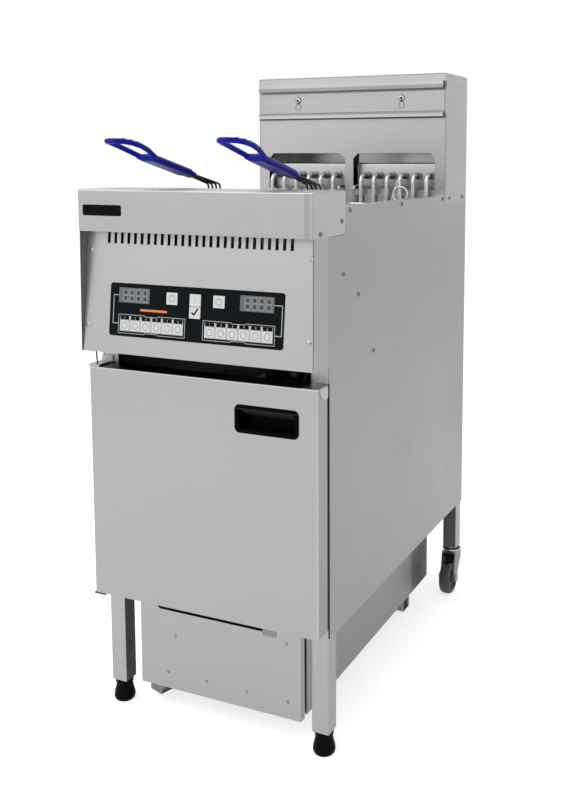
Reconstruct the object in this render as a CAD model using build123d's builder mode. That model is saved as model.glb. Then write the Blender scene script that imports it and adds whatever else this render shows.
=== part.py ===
from build123d import *
import os
from math import atan2, cos, radians, sin, sqrt, tan

os.makedirs("parts", exist_ok=True)

# Single-vat electric floor fryer. Millimetres, x to the right, y to the rear, z up from the floor.
# The origin lies on the floor, in the middle of the overall width and depth.

# Driving dimensions: overall
body_width = 445.0
body_depth = 784.0          # console front to rear panel
console_front_y = -372.0
deck_top_z = 920.0
riser_height = 256.0        # above the deck
sheet = 1.5                 # stainless panel thickness
seam = 0.6                  # visible gap between neighbouring panels
touch = 0.3                 # gap between pieces that only rest together
running = 0.05              # radial clearance of a pin or a shaft in its hole

# Posts, rails and side panels
post_size = 32.0
post_wall = 2.0
post_round = 3.0
post_setback = 57.0         # console front to the front of the posts
front_post_bottom_z = 42.0
panel_bottom_z = 211.0
rail_size = 20.0
rail_wall = 1.5
rear_slot_length = 120.0
rear_slot_width = 7.0
rear_slot_pitch = 16.0
rear_slot_rows = 8

# Console
hood_depth = 121.0
hood_front_height = 71.0
hood_rise = 27.0            # hood top above the deck
hood_lip = 20.0             # folded edge under the hood front
fold_radius = 2.5
cheek_setback = 3.0         # the cheek's front edge leans back by this much at the top
fascia_foot = 1.5           # fascia set behind the console front at its foot
fascia_recess = 22.5        # how much further back its top is
fascia_rise = 207.0         # foot of the console below the hood
fascia_overlap = 16.0       # part of the fascia that goes up inside the hood
fascia_return = 30.0
vent_count = 27
vent_pitch = 13.5
vent_width = 4.8
vent_length = 27.0
vent_foot = 187.5           # up the fascia, to the foot of the slots
overlay_width = 334.0
overlay_height = 90.0
overlay_foot = 30.5         # up the fascia
overlay_thickness = 1.0
overlay_round = 5.0
board_margin = 18.0         # overlay edge to the cut-out behind it
display_width = 62.0
display_height = 25.5
display_x = 118.0
display_drop = 7.5          # below the overlay's top edge
display_proud = 0.4
board_thickness = 1.6
standoff_radius = 3.5
standoff_length = 12.0

# Riser with the two element windows
riser_depth = 144.0
riser_seam_drop = 15.0      # cowl and side panel meet this far below the deck
window_margin = 23.0        # outer edge of a window to the side sheet
window_gap = 20.0
window_foot = 12.0          # above the deck
window_height = 78.0
window_chamfer = 12.0
hanger_margin = 3.0         # end of the hanger to the side sheet
hanger_drop = 16.0          # below the riser top
hanger_height = 74.0
hanger_lip = 11.0           # how far its lips stand out
hanger_lip_height = 15.0    # upper lip
hanger_trough_height = 10.0 # lower lip

# Oil tank and deck
tank_side_gap = 25.0        # vat wall to the side sheet
tank_front = 215.0          # behind the console front
tank_rear_gap = 6.0         # tank wall in front of the riser
tank_wall = 2.0
tank_side_drop = 200.0      # straight part of the walls
tank_depth = 310.0
trough_front = 330.0        # behind the console front
trough_length = 100.0
deck_front = 100.0
deck_rear_gap = 34.0        # deck rear edge in front of the rear panel
skirt_drop = 22.0

# Heating elements
element_radius = 4.0
element_inner_x = 33.7      # innermost leg of each bank
element_wall_gap = 12.3     # outermost leg to the vat wall
element_pairs = 3
element_drop_y = 13.0       # upright runs stand this far in front of the riser
element_face_y = 40.0       # terminal box face behind the riser front
element_top = 42.0          # upper runs above the deck
element_floor = 185.0       # lower runs below the deck
element_front = 245.0       # behind the console front
terminal_height = 68.0
terminal_depth = 80.0
terminal_inner_x = 8.0
terminal_margin = 17.0      # box end to the side sheet
nut_across = 15.0
nut_length = 7.0
strap_width = 16.0
strap_thickness = 2.5
probe_radius = 3.0
probe_x = 18.0
probe_bottom = 120.0        # below the deck
rack_thickness = 5.0
rack_bar = 6.0
rack_column_count = 4
rack_row_count = 4
ring_radius = 16.0
ring_wire = 1.6
ring_rise = 3.0             # ring centre above the deck
ring_offset = 32.0          # to the right of the right basket's middle
bow_wire = 1.4
bow_rise = 41.0             # peak of the bow above the deck
bow_drop = 10.0             # foot of its slopes below the deck
bow_width = 21.0            # between its upright legs
bow_lean = 5.0              # its peak to its right leg
bow_bend = 2.0

# Baskets
basket_gap = 32.0           # between the two baskets
basket_wall_gap = 4.0       # basket to the vat wall
basket_front = 250.0        # behind the console front
basket_rear_gap = 44.0      # basket to the rear wall of the vat
basket_rim_drop = 15.0      # rim top below the deck
rim_wire = 3.0
rim_corner = 12.0
strap_wire = 2.5
net_thickness = 2.0
net_column_count = 4
net_row_count = 7
net_tier_count = 3
net_bar = 4.0
handle_wire_count = 4
handle_wire = 2.0
handle_wire_pitch = 7.6
handle_bend = 16.0
handle_slope = 14.0         # degrees
handle_neck_y = 205.0       # behind the console front, where the wires enter the grip
handle_neck_z = 38.0        # above the deck
grip_reach = 63.1           # grip tip in front of the console
grip_width = 34.0
grip_thickness = 12.5
grip_collar_width = 31.0
grip_collar_length = 30.0
grip_collar_thickness = 9.0
grip_loop_width = 55.0
grip_loop_length = 112.0
grip_loop_bar = 9.5
grip_shoulder = 12.0        # hollow where the body widens into the loop
grip_round = 3.0

# Door
door_front = 16.0           # behind the console front
door_reveal = 1.0           # door end inside the side of the body
door_foot_rise = 16.0       # door bottom above the foot of the side panels
door_drop = 30.0            # door top below the console
door_gap = 2.0              # between the door and the posts
door_round = 5.0
hinge_inset = 9.0           # from the door's left edge
hinge_depth = 13.0          # behind the door's front
hinge_pin_radius = 4.0
hinge_plate = 3.0
hinge_plate_width = 26.0
hinge_pin_reach = 9.0
magnet_width = 12.0
magnet_height = 90.0
pull_inset = 91.5           # pull centre from the door's right end
pull_drop = 61.0            # pull centre below the door top
pull_width = 117.0
pull_height = 47.0
pull_depth = 24.0
pull_wall = 2.5
pull_flange = 1.2
pull_border = 4.0
pull_round = 9.0
pull_lean = 14.0            # how far the recess roof comes down towards the back

# Filter drawer
pan_post_gap = 26.0         # pan side to the front post
pan_front = 92.0            # behind the console front
pan_rear_gap = 35.5         # pan rear to the rear posts
pan_bottom_z = 46.0
pan_hang = 21.0             # pan rim below the foot of the side panels
pan_flange = 17.0
front_plate = 70.0          # behind the console front
front_plate_bottom_z = 44.0
front_plate_gap = 19.0      # below the door
front_plate_return = 14.0
front_rib_inset = 53.0      # from the pan side
front_rib_width = 30.0
front_rib_height = 120.0
hand_slot_width = 236.0
hand_slot_height = 14.0
hand_slot_x = -8.0
hand_slot_drop = 10.0
screen_height = 50.0        # above the pan floor
screen_margin = 8.0
screen_column_count = 3
screen_row_count = 5
screen_slot_bar = 14.0
skid_width = 22.0
skid_length = 42.0
skid_height = 36.0
skid_edge = 17.0            # skid middle from the pan side
skid_inset = 1.0            # skid from the pan's front or rear
runner_leg = 18.0
pickup_radius = 10.0
pickup_edge = 53.0          # tube from the pan side
pickup_drop = 25.0          # upper run below the pan rim
pickup_foot_inset = 110.0

# Drain, pump and wiring inside the cabinet
pipe_radius = 21.0
pipe_wall = 3.0
drain_drop = 65.0           # level run below the vat floor
valve_front = 150.0         # behind the console front
valve_length = 90.0
valve_radius = 32.0
spout_gap = 25.0            # above the pan rim
stem_radius = 6.0
stem_height = 26.0
lever_length = 130.0
lever_width = 22.0
lever_thickness = 4.0
shelf_thickness = 2.0
shelf_rear_gap = 25.5       # in front of the rear posts
shelf_length = 185.0
motor_radius = 58.0
motor_length = 190.0
pump_size = 84.0
pump_length = 62.0
small_pipe_radius = 9.0
return_drop = 160.0         # inlet below the deck
contactor_width = 96.0
contactor_depth = 180.0
contactor_height = 240.0
contactor_front = 300.0     # behind the console front
contactor_rise = 89.0       # above the foot of the side panels
gland_inset = 72.5          # from the right side of the body
gland_rise = 64.0           # above the foot of the side panels

# Feet and casters
foot_base_radius = 19.5
foot_top_radius = 16.5
foot_waist_radius = 15.0
foot_stem_radius = 6.0
foot_stem_length = 44.0
plug_length = 14.0
wheel_radius = 37.5
wheel_width = 25.0
wheel_bore = 5.0
wheel_clearance = 16.7      # tyre to the fork crown
caster_trail = 20.0         # axle in front of the kingpin
caster_head_height = 8.0
caster_head_radius = 17.0
fork_gap = 1.0
fork_plate = 3.0
fork_crown = 6.0
fork_crown_length = 40.0
fork_skirt = 16.0           # straight part of the arms below the crown
fork_round = 4.0
kingpin_radius = 6.0
kingpin_length = 5.0

# Places worked out from the driving dimensions
half_width = body_width / 2
inner_half = half_width - sheet
back_y = console_front_y + body_depth
hood_top_z = deck_top_z + hood_rise
hood_bottom_z = hood_top_z - hood_front_height
hood_rear_y = console_front_y + hood_depth
post_front_y = console_front_y + post_setback
front_post_y = post_front_y + post_size / 2
rear_post_y = back_y - sheet - post_size / 2
post_x = inner_half - post_size / 2
rear_post_front_y = rear_post_y - post_size / 2
cheek_bottom_z = hood_bottom_z - fascia_rise
riser_y = back_y - riser_depth
riser_top_z = deck_top_z + riser_height
riser_seam_z = deck_top_z - riser_seam_drop
rail_z = panel_bottom_z + sheet
rail_x = inner_half - rail_size / 2
axle_y = rear_post_y - caster_trail
crown_top_z = 2 * wheel_radius + wheel_clearance + fork_crown
head_z = crown_top_z + touch
rear_post_bottom_z = head_z + caster_head_height


def save(piece, name):
    """Label a finished piece and write its STEP file."""
    piece.part.label = name
    export_step(piece.part, f"parts/{name}.step")


def slab(x, y, z, mode=Mode.ADD):
    """A rectangular block between two x, two y and two z values, given in either order."""
    spans = (x, y, z)
    with Locations(tuple((low + high) / 2 for low, high in spans)):
        Box(*(abs(high - low) for low, high in spans), mode=mode)


def across(x):
    """A plane square to x, with local axes y and z; extrusions run to the right."""
    return Plane.YZ.offset(x)


def upright(y):
    """A plane square to y, with local axes x and z; extrusions run to the front."""
    return Plane.XZ.offset(-y)


def folded(plane, points, side):
    """The section of a sheet folded along the given points of a plane, thickened to one side."""
    with BuildSketch(plane) as section:
        with BuildLine():
            Polyline(*points)
            offset(amount=sheet, side=side, kind=Kind.INTERSECTION)
        make_face()
    return section.sketch


def ring(plane, radius, bore):
    """A disc at a plane's origin, bored through where the bar is a tube."""
    with BuildSketch(plane) as section:
        Circle(radius)
        if bore:
            Circle(bore, mode=Mode.SUBTRACT)
    return section.sketch


def bent_bar(points, radius, bend, bore=0.0):
    """Add a round bar or tube that runs straight from point to point and turns with round bends."""
    corners = [Vector(point) for point in points]
    start = corners[0]
    for index in range(1, len(corners)):
        corner = corners[index]
        along = (corner - corners[index - 1]).normalized()
        last = index == len(corners) - 1
        onward = along if last else (corners[index + 1] - corner).normalized()
        turn = along.get_angle(onward)
        setback = bend * tan(radians(turn / 2))
        stop = corner - along * setback
        if (stop - start).length > running:
            extrude(ring(Plane(start, z_dir=along), radius, bore), amount=(stop - start).length)
        if not last:
            pivot = along.cross(onward).normalized()
            centre = stop + pivot.cross(along) * bend
            revolve(ring(Plane(stop, z_dir=along), radius, bore), axis=Axis(centre, pivot), revolution_arc=turn)
        start = corner + onward * setback


# Posts: square stainless tube, the front pair up into the console
def post_pair(y, bottom_z, top_z):
    with BuildPart() as posts:
        with BuildSketch(Plane.XY.offset(bottom_z)):
            with Locations((-post_x, y), (post_x, y)):
                RectangleRounded(post_size, post_size, post_round)
                Rectangle(post_size - 2 * post_wall, post_size - 2 * post_wall, mode=Mode.SUBTRACT)
        extrude(amount=top_z - bottom_z)
    return posts


front_posts = post_pair(front_post_y, front_post_bottom_z, hood_top_z - sheet)
save(front_posts, "front_posts")
rear_posts = post_pair(rear_post_y, rear_post_bottom_z, riser_seam_z)
save(rear_posts, "rear_posts")

# Base rails: square tubes between the posts, just above the folded edges of the side panels
with BuildPart() as base_rails:
    rail_mid_z = rail_z + rail_size / 2
    hollow = rail_size - 2 * rail_wall
    with BuildSketch(upright(rear_post_front_y)):
        with Locations((-rail_x, rail_mid_z), (rail_x, rail_mid_z)):
            Rectangle(rail_size, rail_size)
            Rectangle(hollow, hollow, mode=Mode.SUBTRACT)
    extrude(amount=rear_post_front_y - front_post_y - post_size / 2)
    with BuildSketch(across(-post_x + post_size / 2)):
        with Locations((front_post_y, rail_mid_z), (rear_post_y, rail_mid_z)):
            Rectangle(rail_size, rail_size)
            Rectangle(hollow, hollow, mode=Mode.SUBTRACT)
    extrude(amount=2 * post_x - post_size)
save(base_rails, "base_rails")


# Side panels: flat sheets notched round the hood and the riser, folded in along the bottom edge
def side_panel(side):
    front_y = post_front_y + seam
    notch_y = hood_rear_y + seam
    with BuildPart() as panel:
        with BuildSketch(across(side * inner_half)):
            with BuildLine():
                Polyline(
                    (front_y, panel_bottom_z),
                    (back_y, panel_bottom_z),
                    (back_y, riser_seam_z),
                    (riser_y - seam, riser_seam_z),
                    (riser_y - seam, deck_top_z),
                    (notch_y, deck_top_z),
                    (notch_y, hood_bottom_z - seam),
                    (front_y, hood_bottom_z - seam),
                    close=True,
                )
            make_face()
        extrude(amount=side * sheet)
        slab(
            (side * inner_half, side * (inner_half - rail_size)),
            (front_post_y + post_size / 2, rear_post_front_y),
            (panel_bottom_z, panel_bottom_z + sheet),
        )
    return panel


for side, name in ((-1, "left_side_panel"), (1, "right_side_panel")):
    save(side_panel(side), name)

# Rear panel: flat sheet between the side panels, with two banks of cooling slots and a hole for the gland
gland_thread_radius = 12.0
gland_x = half_width - gland_inset
gland_z = panel_bottom_z + gland_rise
with BuildPart() as rear_panel:
    with BuildSketch(upright(back_y)):
        with Locations((0, (panel_bottom_z + riser_seam_z) / 2)):
            Rectangle(2 * inner_half, riser_seam_z - panel_bottom_z)
            with GridLocations(rear_slot_length * 1.4, rear_slot_pitch, 2, rear_slot_rows):
                Rectangle(rear_slot_length, rear_slot_width, mode=Mode.SUBTRACT)
        with Locations((gland_x, gland_z)):
            Circle(gland_thread_radius, mode=Mode.SUBTRACT)
    extrude(amount=sheet)
save(rear_panel, "rear_panel")

# Cable gland: threaded body through the rear panel, locknut inside and domed cap outside
with BuildPart() as cable_gland:
    with BuildSketch(upright(back_y + 2 * gland_thread_radius)):
        with Locations((gland_x, gland_z)):
            Circle(gland_thread_radius - 2)
            Circle(gland_thread_radius / 2, mode=Mode.SUBTRACT)
    extrude(amount=2 * gland_thread_radius + 4 * sheet)
    with BuildSketch(upright(back_y + gland_thread_radius)):
        with Locations((gland_x, gland_z)):
            RegularPolygon(gland_thread_radius * 1.5, 6)
            Circle(gland_thread_radius / 2, mode=Mode.SUBTRACT)
    extrude(amount=gland_thread_radius)
    with BuildSketch(upright(back_y - sheet)):
        with Locations((gland_x, gland_z)):
            RegularPolygon(gland_thread_radius * 1.5, 6)
            Circle(gland_thread_radius / 2, mode=Mode.SUBTRACT)
    extrude(amount=3 * sheet)
save(cable_gland, "cable_gland")

# Riser cowl: top, back and sides in one folded sheet, open to the front and below
with BuildPart() as riser_cowl:
    slab((-half_width, half_width), (riser_y, back_y), (riser_seam_z, riser_top_z))
    fillet(riser_cowl.edges().group_by(Axis.Z)[-1].sort_by(Axis.Y)[1:], fold_radius)
    front_face = riser_cowl.faces().filter_by(Axis.Y).sort_by(Axis.Y)[0]
    bottom_face = riser_cowl.faces().filter_by(Axis.Z).sort_by(Axis.Z)[0]
    offset(amount=-sheet, openings=[front_face, bottom_face])
save(riser_cowl, "riser_cowl")

# Riser face: front sheet standing on the deck, with a window over each bank of elements
window_width = inner_half - window_margin - window_gap / 2
window_x = (window_gap + window_width) / 2
window_foot_z = deck_top_z + window_foot
with BuildPart() as riser_face:
    with BuildSketch(upright(riser_y + sheet)):
        with Locations((0, (deck_top_z + riser_top_z - sheet - seam) / 2)):
            Rectangle(2 * (inner_half - seam), riser_top_z - sheet - seam - deck_top_z)
        for side in (-1, 1):
            left = side * window_x - window_width / 2
            right = left + window_width
            foot = window_foot_z
            top = window_foot_z + window_height
            with BuildLine():
                Polyline(
                    (left, foot),
                    (right, foot),
                    (right, top - window_chamfer),
                    (right - window_chamfer, top),
                    (left + window_chamfer, top),
                    (left, top - window_chamfer),
                    close=True,
                )
            make_face(mode=Mode.SUBTRACT)
    extrude(amount=sheet)
save(riser_face, "riser_face")

# Basket hanger: strip with a turned-down upper lip and a trough along its lower edge
hanger_width = 2 * (inner_half - hanger_margin)
hanger_top_z = riser_top_z - hanger_drop
hanger_foot_z = hanger_top_z - hanger_height
with BuildPart() as basket_hanger:
    hanger_fold = (
        (riser_y - hanger_lip, hanger_top_z - hanger_lip_height),
        (riser_y - hanger_lip, hanger_top_z),
        (riser_y, hanger_top_z),
        (riser_y, hanger_foot_z),
        (riser_y - hanger_lip, hanger_foot_z),
        (riser_y - hanger_lip, hanger_foot_z + hanger_trough_height),
    )
    extrude(folded(across(-hanger_width / 2), hanger_fold, Side.RIGHT), amount=hanger_width)
save(basket_hanger, "basket_hanger")

# Oil tank: deck with turned-down skirts, straight-walled vat and a sloping cold zone below the elements
tank_width = 2 * (inner_half - tank_side_gap)
tank_front_y = console_front_y + tank_front
tank_rear_y = riser_y - tank_rear_gap
tank_floor_z = deck_top_z - tank_depth
trough_y = console_front_y + trough_front
deck_front_y = console_front_y + deck_front
deck_rear_y = back_y - deck_rear_gap
drain_y = trough_y + trough_length / 2


def tank_section(x, top_z):
    """The side profile of the vat, on the plane at x."""
    with BuildSketch(across(x)) as section:
        with BuildLine():
            Polyline(
                (tank_front_y, top_z),
                (tank_front_y, deck_top_z - tank_side_drop),
                (trough_y, tank_floor_z),
                (trough_y + trough_length, tank_floor_z),
                (tank_rear_y, deck_top_z - tank_side_drop),
                (tank_rear_y, top_z),
                close=True,
            )
        make_face()
    return section.sketch


with BuildPart() as oil_tank:
    outer_x = tank_width / 2 + tank_wall
    outer_section = offset(
        tank_section(-outer_x, deck_top_z - tank_wall),
        amount=tank_wall,
        kind=Kind.INTERSECTION,
        mode=Mode.PRIVATE,
    )
    extrude(outer_section, amount=2 * outer_x)
    slab((-inner_half, inner_half), (deck_front_y, deck_rear_y), (deck_top_z - tank_wall, deck_top_z))
    for side in (-1, 1):
        slab(
            (side * inner_half, side * (inner_half - tank_wall)),
            (deck_front_y, riser_y - seam),
            (deck_top_z - skirt_drop, deck_top_z),
        )
    extrude(tank_section(-tank_width / 2, deck_top_z + tank_wall), amount=tank_width, mode=Mode.SUBTRACT)
    with Locations((0, drain_y, tank_floor_z)):
        Cylinder(pipe_radius - pipe_wall, 4 * tank_wall, mode=Mode.SUBTRACT)
save(oil_tank, "oil_tank")

# Terminal boxes: folded covers over the cold ends of the elements, on the deck inside the riser
terminal_y = riser_y + element_face_y
terminal_outer_x = inner_half - terminal_margin
with BuildPart() as terminal_boxes:
    for side in (-1, 1):
        slab(
            (side * terminal_inner_x, side * terminal_outer_x),
            (terminal_y, terminal_y + terminal_depth),
            (deck_top_z, deck_top_z + terminal_height),
        )
    fillet(terminal_boxes.edges().filter_by(Axis.X).group_by(Axis.Z)[-1], fold_radius)
    offset(amount=-sheet, openings=terminal_boxes.faces().filter_by(Axis.Z).group_by(Axis.Z)[0])
save(terminal_boxes, "terminal_boxes")

# Heating elements: hairpins that drop into the vat in front of the riser and run along above the cold zone
element_run_z = deck_top_z - element_floor
element_top_z = deck_top_z + element_top
element_leg_y = riser_y - element_drop_y
element_front_y = console_front_y + element_front + element_radius
leg_count = 2 * element_pairs
element_outer_x = tank_width / 2 - element_wall_gap
element_pitch = (element_outer_x - element_inner_x) / (leg_count - 1)
element_xs = [
    start_x + index * element_pitch
    for start_x in (-element_outer_x, element_inner_x)
    for index in range(leg_count)
]


with BuildPart() as heating_elements:
    for first_x, second_x in zip(element_xs[::2], element_xs[1::2]):
        out = [
            (first_x, terminal_y - nut_length, element_top_z),
            (first_x, element_leg_y, element_top_z),
            (first_x, element_leg_y, element_run_z),
            (first_x, element_front_y, element_run_z),
        ]
        home = [(second_x, y, z) for _, y, z in reversed(out)]
        bent_bar(out + home, element_radius, element_pitch / 2)
save(heating_elements, "heating_elements")

# Element nuts: hexagon glands that clamp each element leg in the terminal box
with BuildPart() as element_nuts:
    with BuildSketch(upright(terminal_y)):
        with Locations(*((x, element_top_z) for x in element_xs)):
            RegularPolygon(nut_across / 2, 6, major_radius=False)
    extrude(amount=nut_length)
save(element_nuts, "element_nuts")

# Element straps: flat bars under the lower runs that keep the hairpins in line
strap_top_z = element_run_z - element_radius
with BuildPart() as element_straps:
    for strap_y in (element_front_y + 3 * element_pitch, element_leg_y - 4 * element_pitch):
        slab(
            (element_xs[0] - element_radius, element_xs[-1] + element_radius),
            (strap_y - strap_width / 2, strap_y + strap_width / 2),
            (strap_top_z - strap_thickness, strap_top_z),
        )
save(element_straps, "element_straps")

# Temperature probes: control and safety sensors hooked over the rear edge of the vat
probe_y = tank_rear_y - 3 * probe_radius
with BuildPart() as temperature_probes:
    for x in (-probe_x, probe_x):
        top_z = window_foot_z + 2 * probe_radius
        probe_run = ((x, probe_y, deck_top_z - probe_bottom), (x, probe_y, top_z), (x, terminal_y, top_z))
        bent_bar(probe_run, probe_radius, 2 * probe_radius)
save(temperature_probes, "temperature_probes")

# Basket rack: flat grid lying on the elements, which keeps the baskets off them
rack_foot_z = element_run_z + element_radius + touch
rack_top_z = rack_foot_z + rack_thickness
rack_front_y = element_front_y + element_pitch / 2
rack_rear_y = element_leg_y - element_pitch
rack_half = tank_width / 2 - rack_bar
rack_length = rack_rear_y - rack_front_y
with BuildPart() as basket_rack:
    gap_x = (2 * rack_half - rack_bar) / rack_column_count - rack_bar
    gap_y = (rack_length - rack_bar) / rack_row_count - rack_bar
    with BuildSketch(Plane.XY.offset(rack_foot_z)):
        with Locations((0, (rack_front_y + rack_rear_y) / 2)):
            Rectangle(2 * rack_half, rack_length)
            with GridLocations(gap_x + rack_bar, gap_y + rack_bar, rack_column_count, rack_row_count):
                Rectangle(gap_x, gap_y, mode=Mode.SUBTRACT)
    extrude(amount=rack_thickness)
save(basket_rack, "basket_rack")

# Rack lift ring: wire that stands up from the rack beside the rear edge, with a round eye and a bow behind it
basket_width = tank_width / 2 - basket_gap / 2 - basket_wall_gap
basket_centre_x = (basket_gap + basket_width) / 2
ring_x = basket_centre_x + ring_offset
ring_y = rack_rear_y + touch + ring_wire
ring_z = deck_top_z + ring_rise
with BuildPart() as rack_lift_ring:
    bent_bar(((ring_x, ring_y, rack_foot_z), (ring_x, ring_y, ring_z - ring_radius)), ring_wire, 0)
    with Locations(Location((ring_x, ring_y, ring_z), (90, 0, 0))):
        Torus(ring_radius, ring_wire)
    bow_y = ring_y + ring_wire + touch + bow_wire
    bow_run = (
        (ring_x - bow_width, bow_y, rack_foot_z),
        (ring_x - bow_width, bow_y, deck_top_z - bow_drop),
        (ring_x - bow_lean, bow_y, deck_top_z + bow_rise),
        (ring_x, bow_y, deck_top_z - bow_drop),
        (ring_x, bow_y, rack_foot_z),
    )
    bent_bar(bow_run, bow_wire, bow_bend)
save(rack_lift_ring, "rack_lift_ring")


# Console hood: folded box over the controls, open below, with a lip under its front
with BuildPart() as console_hood:
    slab((-half_width, half_width), (console_front_y, hood_rear_y), (hood_bottom_z, hood_top_z))
    front_edges = console_hood.edges().filter_by(Axis.Z).group_by(Axis.Y)[0]
    top_edge = console_hood.edges().filter_by(Axis.X).group_by(Axis.Y)[0].sort_by(Axis.Z)[-1]
    fillet(front_edges + [top_edge], fold_radius)
    offset(amount=-sheet, openings=console_hood.faces().filter_by(Axis.Z).sort_by(Axis.Z)[0])
    slab((-inner_half, inner_half), (hood_rear_y, hood_rear_y - sheet), (hood_bottom_z, deck_top_z), mode=Mode.SUBTRACT)
    slab(
        (-inner_half, inner_half),
        (console_front_y + sheet, console_front_y + hood_lip),
        (hood_bottom_z, hood_bottom_z + sheet),
    )
save(console_hood, "console_hood")

# Console cheeks: side plates below the hood, folded in against the front posts
with BuildPart() as console_cheeks:
    for side in (-1, 1):
        with BuildSketch(across(side * inner_half)):
            with BuildLine():
                Polyline(
                    (console_front_y, cheek_bottom_z),
                    (post_front_y, cheek_bottom_z),
                    (post_front_y, hood_bottom_z),
                    (console_front_y + cheek_setback, hood_bottom_z),
                    close=True,
                )
            make_face()
        extrude(amount=side * sheet)
        slab(
            (side * inner_half, side * (inner_half - post_size / 2)),
            (post_front_y, post_front_y - sheet),
            (cheek_bottom_z, hood_bottom_z),
        )
save(console_cheeks, "console_cheeks")

# Control fascia: sloping sheet between the cheeks, with vent slots, a board cut-out and a folded foot
fascia_tilt = atan2(fascia_recess, fascia_rise)
fascia_half = inner_half - touch
fascia_length = sqrt(fascia_rise**2 + fascia_recess**2) + fascia_overlap
fascia_plane = Plane(
    origin=(0, console_front_y + fascia_foot, cheek_bottom_z),
    x_dir=(1, 0, 0),
    z_dir=(0, -cos(fascia_tilt), sin(fascia_tilt)),
)
overlay_mid = overlay_foot + overlay_height / 2
with BuildPart() as control_fascia:
    with BuildSketch(fascia_plane):
        with Locations((0, fascia_length / 2)):
            Rectangle(2 * fascia_half, fascia_length)
        with Locations((0, vent_foot + vent_length / 2)):
            with GridLocations(vent_pitch, 1, vent_count, 1):
                SlotOverall(vent_length, vent_width, rotation=90, mode=Mode.SUBTRACT)
        with Locations((0, overlay_mid)):
            Rectangle(overlay_width - 2 * board_margin, overlay_height - 2 * board_margin, mode=Mode.SUBTRACT)
    extrude(amount=-sheet)
    slab(
        (-fascia_half, fascia_half),
        (console_front_y + fascia_foot + sheet, console_front_y + fascia_return),
        (cheek_bottom_z, cheek_bottom_z + sheet),
    )
save(control_fascia, "control_fascia")

# Keypad overlay: printed film with two display openings, stuck over the board cut-out
display_mid = overlay_foot + overlay_height - display_drop - display_height / 2
with BuildPart() as keypad_overlay:
    with BuildSketch(fascia_plane):
        with Locations((0, overlay_mid)):
            RectangleRounded(overlay_width, overlay_height, overlay_round)
        with Locations((-display_x, display_mid), (display_x, display_mid)):
            Rectangle(display_width, display_height, mode=Mode.SUBTRACT)
    extrude(amount=overlay_thickness)
save(keypad_overlay, "keypad_overlay")

# Display windows: tinted blocks of the two time displays, flush in the overlay's openings
display_size = (display_width - touch, display_height - touch)
with BuildPart() as display_windows:
    with BuildSketch(fascia_plane.offset(overlay_thickness + display_proud)):
        with Locations((-display_x, display_mid), (display_x, display_mid)):
            Rectangle(*display_size)
    extrude(amount=-(overlay_thickness + display_proud))
save(display_windows, "display_windows")

# Controller board: circuit board on standoffs behind the cut-out, with relays on its rear
board_plane = fascia_plane.offset(-sheet - standoff_length)
board_width = overlay_width
board_height = overlay_height
with BuildPart() as controller_board:
    with BuildSketch(board_plane):
        with Locations((0, overlay_mid)):
            Rectangle(board_width, board_height)
    extrude(amount=-board_thickness)
    with BuildSketch(board_plane):
        with Locations((0, overlay_mid)):
            with GridLocations(board_width - board_margin, board_height - board_margin / 2, 2, 2):
                Circle(standoff_radius)
    extrude(amount=standoff_length)
    with BuildSketch(board_plane.offset(-board_thickness)):
        with Locations((0, overlay_mid)):
            with GridLocations(board_width / 5, 1, 4, 1):
                Rectangle(board_width / 9, board_height / 3)
    extrude(amount=-standoff_length)
save(controller_board, "controller_board")


# Door: deep pan with rounded edges, pivoted on pins at its left end
door_front_y = console_front_y + door_front
door_rear_y = post_front_y - door_gap
door_half = half_width - door_reveal
door_bottom_z = panel_bottom_z + door_foot_rise
door_top_z = cheek_bottom_z - door_drop
hinge_x = -door_half + hinge_inset
hinge_y = door_front_y + hinge_depth
door_mid_z = (door_bottom_z + door_top_z) / 2
pull_x = door_half - pull_inset
pull_z = door_top_z - pull_drop
cup_width = pull_width - 2 * pull_border
cup_height = pull_height - 2 * pull_border
with BuildPart() as door_shell:
    slab((-door_half, door_half), (door_front_y, door_rear_y), (door_bottom_z, door_top_z))
    fillet(door_shell.edges().filter_by(Axis.Z).group_by(Axis.Y)[0], door_round)
    offset(amount=-sheet, openings=door_shell.faces().sort_by(Axis.Y)[-1])
    with BuildSketch(upright(door_front_y + sheet)):
        with Locations((pull_x, pull_z)):
            RectangleRounded(cup_width + 2 * touch, cup_height + 2 * touch, pull_round)
    extrude(amount=sheet, mode=Mode.SUBTRACT)
    with Locations((hinge_x, hinge_y, door_mid_z)):
        Hole(hinge_pin_radius + running)
save(door_shell, "door_shell")

# Door liner: flat sheet that closes the back of the door
with BuildPart() as door_liner:
    inset = sheet + touch
    slab(
        (-door_half + inset, door_half - inset),
        (door_rear_y - sheet, door_rear_y),
        (door_bottom_z + inset, door_top_z - inset),
    )
save(door_liner, "door_liner")

# Door pull: moulded cup with a sloping roof, let into the door front, its flange lying on the sheet
with BuildPart() as door_pull:
    with BuildSketch(upright(door_front_y + pull_depth)):
        with Locations((pull_x, pull_z)):
            RectangleRounded(cup_width, cup_height, pull_round)
    extrude(amount=pull_depth)
    with BuildSketch(upright(door_front_y)):
        with Locations((pull_x, pull_z)):
            RectangleRounded(pull_width, pull_height, pull_round)
    extrude(amount=pull_flange)
    recess_width = cup_width - 2 * pull_wall
    recess_height = cup_height - 2 * pull_wall
    with BuildSketch(upright(door_front_y - pull_flange)):
        with Locations((pull_x, pull_z)):
            RectangleRounded(recess_width, recess_height, pull_round - pull_wall)
    with BuildSketch(upright(door_front_y + pull_depth - pull_wall)):
        with Locations((pull_x, pull_z - pull_lean / 2)):
            RectangleRounded(recess_width, recess_height - pull_lean, pull_round - pull_wall)
    loft(mode=Mode.SUBTRACT)
save(door_pull, "door_pull")

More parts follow.
